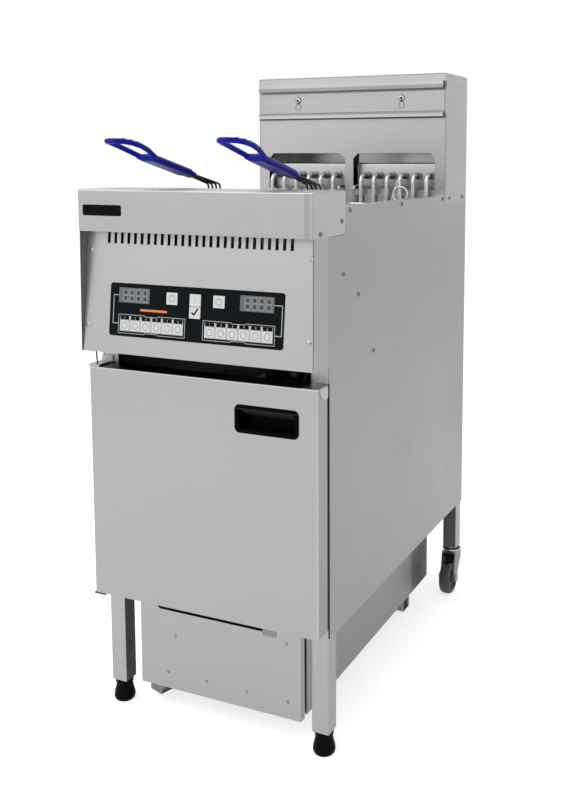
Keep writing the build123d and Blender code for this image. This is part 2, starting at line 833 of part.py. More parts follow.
# Hinge brackets: plates on the left front post above and below the door, each with its pivot pin
plate_x = (hinge_x - hinge_plate_width / 2 + touch, hinge_x + hinge_plate_width / 2)
with BuildPart() as hinge_brackets:
    for door_z, up in ((door_bottom_z, -1), (door_top_z, 1)):
        inner_z = door_z + up * touch
        outer_z = inner_z + up * hinge_plate
        slab((-half_width + touch, plate_x[1]), (hinge_y - hinge_plate_width / 2, post_front_y), (inner_z, outer_z))
        slab(
            (-half_width + touch, plate_x[1]),
            (post_front_y - hinge_plate, post_front_y),
            (outer_z, outer_z + up * hinge_pin_reach),
        )
        with Locations((hinge_x, hinge_y, (outer_z + door_z - up * hinge_pin_reach) / 2)):
            Cylinder(hinge_pin_radius, abs(outer_z - door_z) + hinge_pin_reach)
save(hinge_brackets, "hinge_brackets")

# Door magnet: strip on the right front post that holds the door shut
with BuildPart() as door_magnet:
    slab(
        (post_x - magnet_width / 2, post_x + magnet_width / 2),
        (door_rear_y + touch, post_front_y),
        (door_mid_z - magnet_height / 2, door_mid_z + magnet_height / 2),
    )
save(door_magnet, "door_magnet")


# Baskets: welded wire frame with a net on five sides and a dipped grip
rim_z = deck_top_z - basket_rim_drop - rim_wire
basket_front_y = console_front_y + basket_front
basket_length = tank_rear_y - basket_rear_gap - basket_front_y
basket_mid_y = basket_front_y + basket_length / 2
rim_width = basket_width - 2 * rim_wire
rim_length = basket_length - 2 * rim_wire
net_width = rim_width - 2 * (rim_wire + touch)
net_length = rim_length - 2 * (rim_wire + touch)
net_foot_z = rack_top_z + 2 * (touch + strap_wire)
net_top_z = rim_z - rim_wire - touch
neck_y = console_front_y + handle_neck_y
neck_z = deck_top_z + handle_neck_z
slope = radians(handle_slope)
grip_length = (handle_neck_y + grip_reach) / cos(slope)


def handle_plane(x):
    """The plane of a handle: local x across it, local y up along it from the neck to the tip."""
    return Plane(origin=(x, neck_y, neck_z), x_dir=(1, 0, 0), z_dir=(0, sin(slope), cos(slope)))


def basket_frame(x):
    with BuildPart() as frame:
        left, right = x - rim_width / 2, x + rim_width / 2
        front_y, rear_y = basket_mid_y - rim_length / 2, basket_mid_y + rim_length / 2
        rim_run = (
            (x, front_y, rim_z),
            (right, front_y, rim_z),
            (right, rear_y, rim_z),
            (left, rear_y, rim_z),
            (left, front_y, rim_z),
            (x, front_y, rim_z),
        )
        bent_bar(rim_run, rim_wire, rim_corner)
        half = net_width / 2 + touch + strap_wire
        foot_z = net_foot_z - touch - strap_wire
        for strap_y in (basket_mid_y - basket_length / 4, basket_mid_y + basket_length / 4):
            strap_run = (
                (x - half, strap_y, rim_z),
                (x - half, strap_y, foot_z),
                (x + half, strap_y, foot_z),
                (x + half, strap_y, rim_z),
            )
            bent_bar(strap_run, strap_wire, strap_wire + 2 * touch)
        bend_z = neck_z - (front_y - neck_y) * tan(slope)
        for index in range(handle_wire_count):
            wire_x = x + (index - (handle_wire_count - 1) / 2) * handle_wire_pitch
            handle_run = ((wire_x, front_y, rim_z), (wire_x, front_y, bend_z), (wire_x, neck_y, neck_z))
            bent_bar(handle_run, handle_wire, handle_bend)
    return frame


def net_section(plane, width, height, across_cells, up_cells):
    """One flat net: a face with a grid of square gaps, on the given plane."""
    gap_x = (width - net_bar) / across_cells - net_bar
    gap_y = (height - net_bar) / up_cells - net_bar
    with BuildSketch(plane) as net:
        Rectangle(width, height)
        with GridLocations(gap_x + net_bar, gap_y + net_bar, across_cells, up_cells):
            Rectangle(gap_x, gap_y, mode=Mode.SUBTRACT)
    return net.sketch


def basket_mesh(x):
    wall_foot_z = net_foot_z + net_thickness + touch
    side_height = net_top_z - wall_foot_z
    mid_z = wall_foot_z + side_height / 2
    inner_width = net_width - 2 * (net_thickness + touch)
    floor = Plane((x, basket_mid_y, net_foot_z))
    with BuildPart() as mesh:
        extrude(net_section(floor, net_width, net_length, net_column_count, net_row_count), amount=net_thickness)
        for side in (-1, 1):
            wall = Plane((x + side * net_width / 2, basket_mid_y, mid_z), x_dir=(0, 1, 0), z_dir=(-side, 0, 0))
            wall_net = net_section(wall, net_length, side_height, net_row_count, net_tier_count)
            extrude(wall_net, amount=net_thickness)
            end = Plane((x, basket_mid_y + side * net_length / 2, mid_z), x_dir=(1, 0, 0), z_dir=(0, -side, 0))
            end_net = net_section(end, inner_width, side_height, net_column_count, net_tier_count)
            extrude(end_net, amount=net_thickness)
    return mesh


def basket_grip(x):
    with BuildPart() as grip:
        with BuildSketch(handle_plane(x).offset(-grip_thickness / 2)) as outline:
            loop_y = -grip_length + grip_loop_length / 2
            body_start = grip_collar_length - 2 * grip_round
            with Locations((0, (loop_y - body_start) / 2)):
                RectangleRounded(grip_width, -loop_y - body_start, 2 * grip_round)
            with Locations((0, loop_y)):
                SlotOverall(grip_loop_length, grip_loop_width, rotation=90)
            edge_points = outline.vertices().filter_by(lambda v: abs(abs(v.X) - grip_width / 2) < running)
            fillet(edge_points.sort_by(Axis.Y)[:2], grip_shoulder)
            with Locations((0, loop_y)):
                SlotOverall(
                    grip_loop_length - 2 * grip_loop_bar,
                    grip_loop_width - 2 * grip_loop_bar,
                    rotation=90,
                    mode=Mode.SUBTRACT,
                )
        extrude(amount=grip_thickness)
        through = Axis((x, neck_y, neck_z), handle_plane(x).z_dir)
        faces = grip.faces().sort_by(through)
        fillet(faces[0].edges() + faces[-1].edges(), grip_round)
        with BuildSketch(handle_plane(x).offset(-grip_collar_thickness / 2)):
            with Locations((0, -grip_collar_length / 2)):
                RectangleRounded(grip_collar_width, grip_collar_length, grip_round)
        extrude(amount=grip_collar_thickness)
    return grip


for side, name in ((-1, "left"), (1, "right")):
    save(basket_frame(side * basket_centre_x), f"{name}_basket_frame")
    save(basket_mesh(side * basket_centre_x), f"{name}_basket_mesh")
    save(basket_grip(side * basket_centre_x), f"{name}_basket_grip")


# Filter pan: deep open tray that hangs by its side flanges
pan_half = inner_half - post_size - pan_post_gap
pan_front_y = console_front_y + pan_front
pan_rear_y = rear_post_front_y - pan_rear_gap
pan_length = pan_rear_y - pan_front_y
pan_top_z = panel_bottom_z - pan_hang
pickup_x = pan_half - pickup_edge
pickup_run_z = pan_top_z - pickup_drop
with BuildPart() as filter_pan:
    slab((-pan_half, pan_half), (pan_front_y, pan_rear_y), (pan_bottom_z, pan_top_z))
    offset(amount=-sheet, openings=filter_pan.faces().sort_by(Axis.Z)[-1])
    for side in (-1, 1):
        slab(
            (side * (pan_half - sheet), side * (pan_half + pan_flange)),
            (pan_front_y, pan_rear_y),
            (pan_top_z, pan_top_z + sheet),
        )
    with BuildSketch(upright(pan_rear_y)):
        with Locations((pickup_x, pickup_run_z)):
            Circle(pickup_radius + running)
    extrude(amount=sheet, mode=Mode.SUBTRACT)
save(filter_pan, "filter_pan")

# Drawer front: shallow pan with a hand slot, on two ribs that join it to the filter pan
plate_y = console_front_y + front_plate
plate_top_z = door_bottom_z - front_plate_gap
plate_mid_z = (front_plate_bottom_z + plate_top_z) / 2
front_rib_x = pan_half - front_rib_inset
with BuildPart() as pan_front_plate:
    slab((-pan_half, pan_half), (plate_y, plate_y + front_plate_return), (front_plate_bottom_z, plate_top_z))
    offset(amount=-sheet, openings=pan_front_plate.faces().sort_by(Axis.Y)[-1])
    with BuildSketch(upright(plate_y + sheet)):
        with Locations((hand_slot_x, plate_top_z - hand_slot_drop)):
            SlotOverall(hand_slot_width, hand_slot_height)
    extrude(amount=sheet, mode=Mode.SUBTRACT)
    for side in (-1, 1):
        slab(
            (side * front_rib_x - front_rib_width / 2, side * front_rib_x + front_rib_width / 2),
            (plate_y + sheet, pan_front_y),
            (plate_mid_z - front_rib_height / 2 - hand_slot_drop, plate_mid_z + front_rib_height / 2 - hand_slot_height),
        )
save(pan_front_plate, "pan_front")

# Filter screen: slotted plate on a turned-down edge that stands on the pan floor
screen_half = pan_half - sheet - screen_margin
screen_length = pan_length - 2 * (sheet + screen_margin) - pickup_foot_inset
screen_front_y = pan_front_y + sheet + screen_margin
screen_top_z = pan_bottom_z + sheet + screen_height
with BuildPart() as filter_screen:
    slab(
        (-screen_half, screen_half),
        (screen_front_y, screen_front_y + screen_length),
        (pan_bottom_z + sheet, screen_top_z),
    )
    offset(amount=-sheet, openings=filter_screen.faces().sort_by(Axis.Z)[0])
    slot_width = 2 * screen_half / screen_column_count - screen_slot_bar
    slot_length = screen_length / screen_row_count - screen_slot_bar
    with BuildSketch(Plane.XY.offset(screen_top_z)):
        with Locations((0, screen_front_y + screen_length / 2)):
            with GridLocations(
                slot_width + screen_slot_bar,
                slot_length + screen_slot_bar,
                screen_column_count,
                screen_row_count,
            ):
                Rectangle(slot_width, slot_length, mode=Mode.ADD)
    extrude(amount=-sheet, mode=Mode.SUBTRACT)
save(filter_screen, "filter_screen")

# Pan skids: bent straps welded under the pan's corners
skid_x = pan_half - skid_edge
with BuildPart() as pan_skids:
    for skid_y in (pan_front_y + skid_inset, pan_rear_y - skid_inset - skid_length):
        for side in (-1, 1):
            skid_fold = (
                (skid_y, pan_bottom_z),
                (skid_y, pan_bottom_z - skid_height),
                (skid_y + skid_length, pan_bottom_z - skid_height),
                (skid_y + skid_length, pan_bottom_z),
            )
            extrude(folded(across(side * skid_x - skid_width / 2), skid_fold, Side.LEFT), amount=skid_width)
save(pan_skids, "pan_skids")

# Pickup tube: rises from the pan floor and leaves through the rear wall towards the pump
pickup_y = pan_rear_y - pickup_foot_inset / 2
socket_y = pan_rear_y + 2 * pickup_radius
with BuildPart() as pickup_tube:
    pickup_run = (
        (pickup_x, pickup_y, pan_bottom_z + sheet),
        (pickup_x, pickup_y, pickup_run_z),
        (pickup_x, socket_y - touch, pickup_run_z),
    )
    bent_bar(pickup_run, pickup_radius, 2 * pickup_radius, pickup_radius - sheet)
save(pickup_tube, "pickup_tube")

# Pan runners: folded rails under the side panels that carry the pan's flanges
with BuildPart() as pan_runners:
    for side in (-1, 1):
        wall_x = side * (pan_half + pan_flange + 2 * sheet)
        runner_fold = (
            (side * (pan_half + 2 * sheet), pan_top_z - touch),
            (wall_x, pan_top_z - touch),
            (wall_x, panel_bottom_z),
            (side * (inner_half - sheet), panel_bottom_z),
        )
        fold_side = Side.RIGHT if side > 0 else Side.LEFT
        extrude(folded(upright(pan_rear_y), runner_fold, fold_side), amount=pan_length)
save(pan_runners, "pan_runners")


# Drain pipes: the outlet under the cold zone, and the spout from the valve down to the filter pan
valve_front_y = console_front_y + valve_front
valve_rear_y = valve_front_y + valve_length
spout_y = valve_front_y - 2 * pipe_radius
drain_bore = pipe_radius - pipe_wall
drain_turn_z = tank_floor_z - drain_drop
spout_bottom_z = pan_top_z + spout_gap
with BuildPart() as drain_pipes:
    outlet_run = (
        (0, drain_y, tank_floor_z - tank_wall),
        (0, drain_y, drain_turn_z),
        (0, valve_rear_y, drain_turn_z),
    )
    bent_bar(outlet_run, pipe_radius, 1.5 * pipe_radius, drain_bore)
    spout_run = ((0, valve_front_y, drain_turn_z), (0, spout_y, drain_turn_z), (0, spout_y, spout_bottom_z))
    bent_bar(spout_run, pipe_radius, 1.5 * pipe_radius, drain_bore)
save(drain_pipes, "drain_pipes")

# Drain valve: ball valve body with hexagon ends and a bonnet on top
valve_mid_y = (valve_front_y + valve_rear_y) / 2
bonnet_z = drain_turn_z + valve_radius
with BuildPart() as drain_valve:
    with BuildSketch(upright(valve_rear_y)):
        with Locations((0, drain_turn_z)):
            RegularPolygon(pipe_radius + 2 * pipe_wall, 6)
    extrude(amount=valve_length)
    with Locations((0, valve_mid_y, drain_turn_z)):
        Cylinder(valve_radius, valve_length / 2, rotation=(90, 0, 0))
    with BuildSketch(Plane.XY.offset(drain_turn_z)):
        with Locations((0, valve_mid_y)):
            Circle(2.5 * stem_radius)
    extrude(amount=valve_radius)
    with BuildSketch(Plane.XY.offset(bonnet_z)):
        with Locations((0, valve_mid_y)):
            Circle(stem_radius)
    extrude(amount=stem_height)
    with BuildSketch(upright(valve_rear_y)):
        with Locations((0, drain_turn_z)):
            Circle(pipe_radius - pipe_wall)
    extrude(amount=valve_length, mode=Mode.SUBTRACT)
save(drain_valve, "drain_valve")

# Drain lever: flat bar on the valve stem, lying across the pipe when the valve is shut
lever_z = bonnet_z + touch
with BuildPart() as drain_lever:
    with BuildSketch(Plane.XY.offset(lever_z)):
        with Locations((0, valve_mid_y)):
            Circle(lever_width * 0.7)
        with Locations((lever_length / 2, valve_mid_y)):
            SlotOverall(lever_length, lever_width)
        with Locations((0, valve_mid_y)):
            Circle(stem_radius + running, mode=Mode.SUBTRACT)
    extrude(amount=lever_thickness)
    with BuildSketch(Plane.XY.offset(lever_z)):
        with Locations((lever_length * 0.7, valve_mid_y)):
            SlotOverall(lever_length * 0.6, lever_width + 2 * sheet)
    extrude(amount=3 * lever_thickness)
save(drain_lever, "drain_lever")

# Pump shelf: plate across the side rails
shelf_rear_y = rear_post_front_y - shelf_rear_gap
shelf_y = shelf_rear_y - shelf_length
shelf_z = rail_z + rail_size
shelf_top_z = shelf_z + shelf_thickness
with BuildPart() as pump_shelf:
    slab((-inner_half + touch, inner_half - touch), (shelf_y, shelf_rear_y), (shelf_z, shelf_top_z))
save(pump_shelf, "pump_shelf")

# Pump motor: finned round motor on a foot, lying across the shelf
motor_y = shelf_y + shelf_length / 2
motor_z = shelf_top_z + motor_radius + 6 * sheet
motor_end_x = pickup_x - pump_length
with BuildPart() as pump_motor:
    with BuildSketch(across(motor_end_x - motor_length)):
        with Locations((motor_y, motor_z)):
            Circle(motor_radius - 4 * sheet)
            with PolarLocations(motor_radius - 4 * sheet, 8):
                Rectangle(8 * sheet, 2 * sheet)
    extrude(amount=motor_length * 0.7)
    with BuildSketch(across(motor_end_x - motor_length * 0.3)):
        with Locations((motor_y, motor_z)):
            Circle(motor_radius - 2 * sheet)
    extrude(amount=motor_length * 0.3)
    slab(
        (motor_end_x - motor_length * 0.8, motor_end_x - motor_length * 0.4),
        (motor_y - motor_radius * 0.8, motor_y + motor_radius * 0.8),
        (shelf_top_z, shelf_top_z + 8 * sheet),
    )
save(pump_motor, "pump_motor")

# Filter pump: gear pump block on the end of the motor
with BuildPart() as filter_pump:
    with BuildSketch(across(motor_end_x)):
        with Locations((motor_y, motor_z)):
            RectangleRounded(pump_size, pump_size, pump_size / 5)
    extrude(amount=pump_length)
    with BuildSketch(across(motor_end_x + pump_length)):
        with Locations((motor_y, motor_z)):
            Circle(pump_size / 3)
    extrude(amount=4 * sheet)
save(filter_pump, "filter_pump")

# Suction pipe: from the socket behind the filter pan up to the pump
pump_x = motor_end_x + pump_length / 2
pump_rear_y = motor_y + pump_size / 2
suction_y = socket_y + small_pipe_radius + 2 * touch
with BuildPart() as suction_pipe:
    suction_run = (
        (pump_x, pump_rear_y, motor_z),
        (pump_x, suction_y, motor_z),
        (pump_x, suction_y, pickup_run_z),
        (pickup_x, suction_y, pickup_run_z),
    )
    bent_bar(suction_run, small_pipe_radius, 1.5 * small_pipe_radius)
    with BuildSketch(upright(suction_y + small_pipe_radius)):
        with Locations((pickup_x, pickup_run_z)):
            Circle(pickup_radius + 2 * sheet)
    extrude(amount=suction_y + small_pipe_radius - socket_y)
save(suction_pipe, "suction_pipe")

# Return pipe: from the pump up to the rear wall of the vat
return_z = deck_top_z - return_drop
return_y = tank_rear_y + tank_wall + 3 * small_pipe_radius
with BuildPart() as return_pipe:
    return_run = (
        (pump_x, return_y, motor_z + pump_size / 2),
        (pump_x, return_y, return_z),
        (pump_x, tank_rear_y + tank_wall, return_z),
    )
    bent_bar(return_run, small_pipe_radius, 1.5 * small_pipe_radius)
save(return_pipe, "return_pipe")

# Contactor box: folded steel cover on the left side panel
contactor_y = console_front_y + contactor_front
contactor_bottom_z = panel_bottom_z + contactor_rise
with BuildPart() as contactor_box:
    slab(
        (-inner_half, -inner_half + contactor_width),
        (contactor_y, contactor_y + contactor_depth),
        (contactor_bottom_z, contactor_bottom_z + contactor_height),
    )
    fillet(contactor_box.faces().sort_by(Axis.X)[-1].edges(), fold_radius)
    offset(amount=-sheet, openings=contactor_box.faces().sort_by(Axis.X)[0])
save(contactor_box, "contactor_box")


# Foot plugs: threaded blocks pressed into the ends of the front posts
with BuildPart() as foot_plugs:
    with BuildSketch(Plane.XY.offset(front_post_bottom_z)):
        with Locations((-post_x, front_post_y), (post_x, front_post_y)):
            Rectangle(post_size - 2 * post_wall, post_size - 2 * post_wall)
            Circle(foot_stem_radius + running, mode=Mode.SUBTRACT)
    extrude(amount=plug_length)
save(foot_plugs, "foot_plugs")


# Front feet: bell-shaped mouldings on threaded stems
def front_foot(x):
    top_z = front_post_bottom_z - touch
    sole_radius = foot_base_radius * 0.72
    bulge_z = top_z * 0.22
    waist_z = top_z * 0.66
    with BuildPart() as foot:
        with BuildSketch(Plane.XZ):
            with BuildLine():
                Line((0, 0), (sole_radius, 0))
                ThreePointArc(
                    (sole_radius, 0),
                    (foot_base_radius * 0.93, bulge_z * 0.4),
                    (foot_base_radius, bulge_z),
                )
                Spline(
                    (foot_base_radius, bulge_z),
                    (foot_waist_radius, waist_z),
                    (foot_top_radius, top_z),
                )
                Line((foot_top_radius, top_z), (foot_stem_radius, top_z))
                Line((foot_stem_radius, top_z), (foot_stem_radius, top_z + foot_stem_length))
                Line((foot_stem_radius, top_z + foot_stem_length), (0, top_z + foot_stem_length))
                Line((0, top_z + foot_stem_length), (0, 0))
            make_face()
        revolve(axis=Axis.Z)
    foot.part.locate(Location((x, front_post_y, 0)))
    return foot


for side, name in ((-1, "left_foot"), (1, "right_foot")):
    save(front_foot(side * post_x), name)

# Caster heads: round cups under the rear posts, bored for the kingpins, with a stem up into the tube
with BuildPart() as caster_heads:
    for side in (-1, 1):
        with Locations((side * post_x, rear_post_y, head_z + caster_head_height / 2)):
            Cylinder(caster_head_radius, caster_head_height)
        with Locations((side * post_x, rear_post_y, rear_post_bottom_z + post_size / 2)):
            Cylinder(kingpin_radius * 1.5, post_size)
        with Locations((side * post_x, rear_post_y, head_z + (kingpin_length + touch) / 2)):
            Cylinder(kingpin_radius + running, kingpin_length + touch, mode=Mode.SUBTRACT)
save(caster_heads, "caster_heads")


# Caster forks: pressed crown over the tyre with two tapering arms down to the axle, which is riveted in
def caster_fork(x):
    crown_z = crown_top_z - fork_crown
    arm_x = wheel_width / 2 + fork_gap
    skirt_z = crown_z - fork_skirt
    front_y, rear_y = rear_post_y - fork_crown_length / 2, rear_post_y + fork_crown_length / 2
    with BuildPart() as fork:
        slab((x - arm_x - fork_plate, x + arm_x + fork_plate), (front_y, rear_y), (skirt_z, crown_top_z))
        fillet(fork.edges().filter_by(Axis.Y).group_by(Axis.Z)[-1], fork_round)
        slab((x - arm_x, x + arm_x), (front_y, rear_y), (skirt_z, crown_z), mode=Mode.SUBTRACT)
        with Locations((x, rear_post_y, crown_top_z + kingpin_length / 2)):
            Cylinder(kingpin_radius, kingpin_length)
        for side in (-1, 1):
            with BuildSketch(across(x + side * arm_x)):
                with Locations((axle_y, wheel_radius)):
                    Circle(2 * wheel_bore)
                with Locations((rear_post_y, (skirt_z + crown_z) / 2)):
                    Rectangle(fork_crown_length, fork_skirt)
                make_hull()
            extrude(amount=side * fork_plate)
        with Locations((x, axle_y, wheel_radius)):
            Cylinder(wheel_bore, 2 * (arm_x + fork_plate) + 2 * sheet, rotation=(0, 90, 0))
    return fork


# Caster wheels: solid tyre on a narrower web, bored for the axle
def caster_wheel(x):
    half = wheel_width / 2
    bore = wheel_bore + running
    hub = 2.2 * wheel_bore
    tread_half = half * 0.8
    rim = wheel_radius * 0.72
    web = half * 0.55
    with BuildPart() as wheel:
        with BuildSketch(Plane.XY):
            with BuildLine():
                Polyline(
                    (half, bore),
                    (half, hub),
                    (web, hub),
                    (web, rim),
                    (half, rim),
                    (half, wheel_radius - (half - tread_half)),
                    (tread_half, wheel_radius),
                    (-tread_half, wheel_radius),
                    (-half, wheel_radius - (half - tread_half)),
                    (-half, rim),
                    (-web, rim),
                    (-web, hub),
                    (-half, hub),
                    (-half, bore),
                    close=True,
                )
            make_face()
        revolve(axis=Axis.X)
    wheel.part.locate(Location((x, axle_y, wheel_radius)))
    return wheel


for side, name in ((-1, "left_caster"), (1, "right_caster")):
    save(caster_fork(side * post_x), f"{name}_fork")
    save(caster_wheel(side * post_x), f"{name}_wheel")
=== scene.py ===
import math

import bpy
from mathutils import Matrix, Vector


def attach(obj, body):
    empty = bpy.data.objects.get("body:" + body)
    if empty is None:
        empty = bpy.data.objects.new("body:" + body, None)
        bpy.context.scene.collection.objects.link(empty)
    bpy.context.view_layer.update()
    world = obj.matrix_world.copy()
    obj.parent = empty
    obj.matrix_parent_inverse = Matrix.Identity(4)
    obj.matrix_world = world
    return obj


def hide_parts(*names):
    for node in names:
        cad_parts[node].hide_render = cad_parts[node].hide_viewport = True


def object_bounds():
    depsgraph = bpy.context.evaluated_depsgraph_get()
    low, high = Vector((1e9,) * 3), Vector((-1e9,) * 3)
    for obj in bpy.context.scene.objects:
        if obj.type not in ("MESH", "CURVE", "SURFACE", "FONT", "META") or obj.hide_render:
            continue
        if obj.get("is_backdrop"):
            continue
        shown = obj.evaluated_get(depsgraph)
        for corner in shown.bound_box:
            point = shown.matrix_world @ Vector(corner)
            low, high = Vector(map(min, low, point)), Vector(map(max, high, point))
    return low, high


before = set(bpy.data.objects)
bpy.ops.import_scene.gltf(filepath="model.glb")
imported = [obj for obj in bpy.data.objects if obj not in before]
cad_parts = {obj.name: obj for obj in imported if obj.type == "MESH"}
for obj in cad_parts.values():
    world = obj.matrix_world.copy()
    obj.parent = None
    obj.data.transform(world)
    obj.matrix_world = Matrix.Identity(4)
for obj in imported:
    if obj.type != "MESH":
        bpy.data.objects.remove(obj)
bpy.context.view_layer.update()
bpy.ops.object.select_all(action="DESELECT")


# Cabinet: square tube posts, rails and folded sheets of stainless steel, brushed along their
# length and screwed or welded together. The CAD solids have their shape and take the finish here.
def node(tree, kind, inputs=(), **settings):
    """Add a shader node, give it its settings, and set or link its inputs."""
    made = tree.nodes.new(kind)
    for key, value in settings.items():
        setattr(made, key, value)
    for key, value in dict(inputs).items():
        if isinstance(value, bpy.types.NodeSocket):
            tree.links.new(value, made.inputs[key])
        else:
            made.inputs[key].default_value = value
    return made


def reckoned(tree, operation, *values):
    """What a Math node makes of numbers and sockets."""
    return node(tree, "ShaderNodeMath", enumerate(values), operation=operation).outputs[0]


def node_group(name, inputs, outputs):
    """A shader node group with its sockets, each given as a title and a kind."""
    group = bpy.data.node_groups.new(name, "ShaderNodeTree")
    for way, sockets in (("INPUT", inputs), ("OUTPUT", outputs)):
        for title, kind in sockets.items():
            group.interface.new_socket(title, in_out=way, socket_type="NodeSocket" + kind)
    return group


surface_grain = node_group(
    "surface_grain",
    {"Colour": "Color", "Grain": "Vector", "Contrast": "Float", "Roughness": "Float"},
    {"Colour": "Color", "Roughness": "Float", "Height": "Float"},
)
given = node(surface_grain, "NodeGroupInput").outputs
place = node(surface_grain, "ShaderNodeTexCoord").outputs["Object"]
stretched = node(surface_grain, "ShaderNodeMapping", {"Vector": place, "Scale": given["Grain"]}).outputs[0]
fine_noise = {"Vector": stretched, "Scale": 1.0, "Detail": 4.0}
broad_noise = {"Vector": place, "Scale": 6.0, "Detail": 2.0}
fine = node(surface_grain, "ShaderNodeTexNoise", fine_noise).outputs[0]
broad = node(surface_grain, "ShaderNodeTexNoise", broad_noise).outputs[0]
swing = reckoned(surface_grain, "SUBTRACT", reckoned(surface_grain, "ADD", fine, broad), 1.0)
tone = reckoned(surface_grain, "MULTIPLY_ADD", swing, given["Contrast"], 1.0)
shade = node(surface_grain, "ShaderNodeVectorMath", {0: given["Colour"], "Scale": tone}, operation="SCALE")
gloss_swing = 0.25
gloss = reckoned(surface_grain, "MULTIPLY_ADD", swing, gloss_swing, given["Roughness"])
node(surface_grain, "NodeGroupOutput", {"Colour": shade.outputs[0], "Roughness": gloss, "Height": fine})

# Painted light and shade: a colour scaled by a factor inside a zone
painted_light_zone = node_group(
    "painted_light_zone", {"Colour": "Color", "Inside": "Float", "Factor": "Float"}, {"Colour": "Color"}
)
given = node(painted_light_zone, "NodeGroupInput").outputs
change = reckoned(painted_light_zone, "SUBTRACT", given["Factor"], 1.0)
amount = reckoned(painted_light_zone, "MULTIPLY_ADD", given["Inside"], change, 1.0)
toned = node(painted_light_zone, "ShaderNodeVectorMath", {0: given["Colour"], "Scale": amount}, operation="SCALE")
node(painted_light_zone, "NodeGroupOutput", {"Colour": toned.outputs[0]})


def surface(
    name, colour, *, roughness, grain, contrast, relief=0.00003, zones=(), metallic=0.0, specular=0.5
):
    """A finish with grain in its colour, gloss and relief.

    Each zone is painted light or shade: a factor on the colour, then the limits between which it
    holds, each along a direction and, where it comes again, with a pitch."""
    material = bpy.data.materials.new(name)
    material.use_nodes = True
    tree = material.node_tree
    shader = tree.nodes["Principled BSDF"]
    shader.inputs["Metallic"].default_value = metallic
    shader.inputs["Specular IOR Level"].default_value = specular
    finish = {"Colour": (*colour, 1), "Grain": grain, "Contrast": contrast, "Roughness": roughness}
    look = node(tree, "ShaderNodeGroup", finish, node_tree=surface_grain).outputs
    shade = look["Colour"]
    for factor, *limits in zones:
        place = node(tree, "ShaderNodeTexCoord").outputs["Object"]
        inside = 1.0
        for direction, low, high, *pitch in limits:
            along = node(tree, "ShaderNodeVectorMath", {0: place, 1: direction}, operation="DOT_PRODUCT")
            middle, half, reach = (low + high) / 2, (high - low) / 2, along.outputs["Value"]
            for step in pitch:
                reach = reckoned(tree, "WRAP", reach, middle + step / 2, middle - step / 2)
            inside = reckoned(tree, "MULTIPLY", inside, reckoned(tree, "COMPARE", reach, middle, half))
        zone = {"Colour": shade, "Inside": inside, "Factor": factor}
        shade = node(tree, "ShaderNodeGroup", zone, node_tree=painted_light_zone).outputs["Colour"]
    bump = node(tree, "ShaderNodeBump", {"Distance": relief, "Height": look["Height"]})
    tree.links.new(shade, shader.inputs["Base Color"])
    tree.links.new(look["Roughness"], shader.inputs["Roughness"])
    tree.links.new(bump.outputs[0], shader.inputs["Normal"])
    return material


def even(level):
    """The same number three times: a grey, or a grain that has no direction."""
    return (level, level, level)


along_x, along_y, along_z = (1, 0, 0), (0, 1, 0), (0, 0, 1)
steel_colour = even(0.41)


def brushed_sheet(name, zones=(), colour=steel_colour):
    """Stainless sheet, brushed level."""
    return surface(
        name, colour, roughness=0.36, grain=(3, 3, 320), contrast=0.07, relief=0.00002,
        zones=zones, metallic=1.0,
    )


def dress(material, *names):
    """Give CAD nodes a finish."""
    for name in names:
        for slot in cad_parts[name].material_slots:
            slot.material = material


level_steel = brushed_sheet("level_brushed_steel")
post_painted_shade = (
    (0.34, (along_x, -0.1896, 0.1896)),  # painted shade on the faces towards the middle
    (0.42, (along_y, -0.2836, 0.3789)),  # painted shade on the faces between front and rear
)
upright_steel_with_painted_shade = surface(
    "upright_steel_painted_shade", steel_colour, roughness=0.36, grain=(320, 320, 3), contrast=0.22,
    relief=0.00002, zones=post_painted_shade, metallic=1.0,
)
dress(upright_steel_with_painted_shade, "front_posts", "rear_posts")
dress(level_steel, "base_rails", "rear_panel")
side_painted_shade = (
    (0.04, (along_y, -0.3146, -0.3134), (along_z, 0.2, 0.64)),  # painted shadow on the front edge, in the gap beside the door
    (0.35, (along_x, -0.2213, 0.2213), (along_y, -0.31, 0.41)),  # painted shade on the inner faces
)
# The side sheets take a darker grey than the steel elsewhere, as painted shade.
dress(brushed_sheet("side_steel_painted_shade", side_painted_shade, even(0.36)), "left_side_panel", "right_side_panel")
back_wall, back_height = (along_y, 0.400, 0.4108), (along_z, 0.9, 1.1743)
cowl_painted_light = (
    (2.0, back_wall, (along_x, -0.2207, 0.2207), back_height),  # painted light on the back wall seen through the windows
    (0.03, back_wall, (along_x, -0.060, -0.037), back_height),  # painted shadow of the left terminal box, behind the left window
    (0.08, (along_x, -0.2212, -0.2208), (along_y, 0.268, 0.332)),  # painted shade on the left wall beside the window
)
dress(brushed_sheet("cowl_steel_painted_light", cowl_painted_light), "riser_cowl")
# Painted shadow on the riser just under the hanger
painted_shadow_under_hanger = ((0.22, (along_z, 1.0830, 1.0862)),)
dress(brushed_sheet("riser_steel_painted_shadow", painted_shadow_under_hanger), "riser_face")
lips, strip = (along_y, 0.256, 0.2588), (along_y, 0.262, 0.269)
hanger_painted_light = (  # painted highlights and shade on the folds of the two lips, painted shade on the strip below
    (1.12, lips, (along_z, 1.1525, 1.161)),
    (0.72, lips, (along_z, 1.144, 1.1525)),
    (0.75, lips, (along_z, 1.0925, 1.0965)),
    (1.2, lips, (along_z, 1.0865, 1.0925)),
    (0.5, strip, (along_z, 1.140, 1.1585)),
    (0.6, strip, (along_z, 1.086, 1.0985)),
)
hanger_steel_with_painted_light = surface(
    "hanger_steel_painted_light", even(0.385), roughness=0.34, grain=(2, 2, 420), contrast=0.25,
    zones=hanger_painted_light, metallic=1.0,
)
dress(hanger_steel_with_painted_light, "basket_hanger")
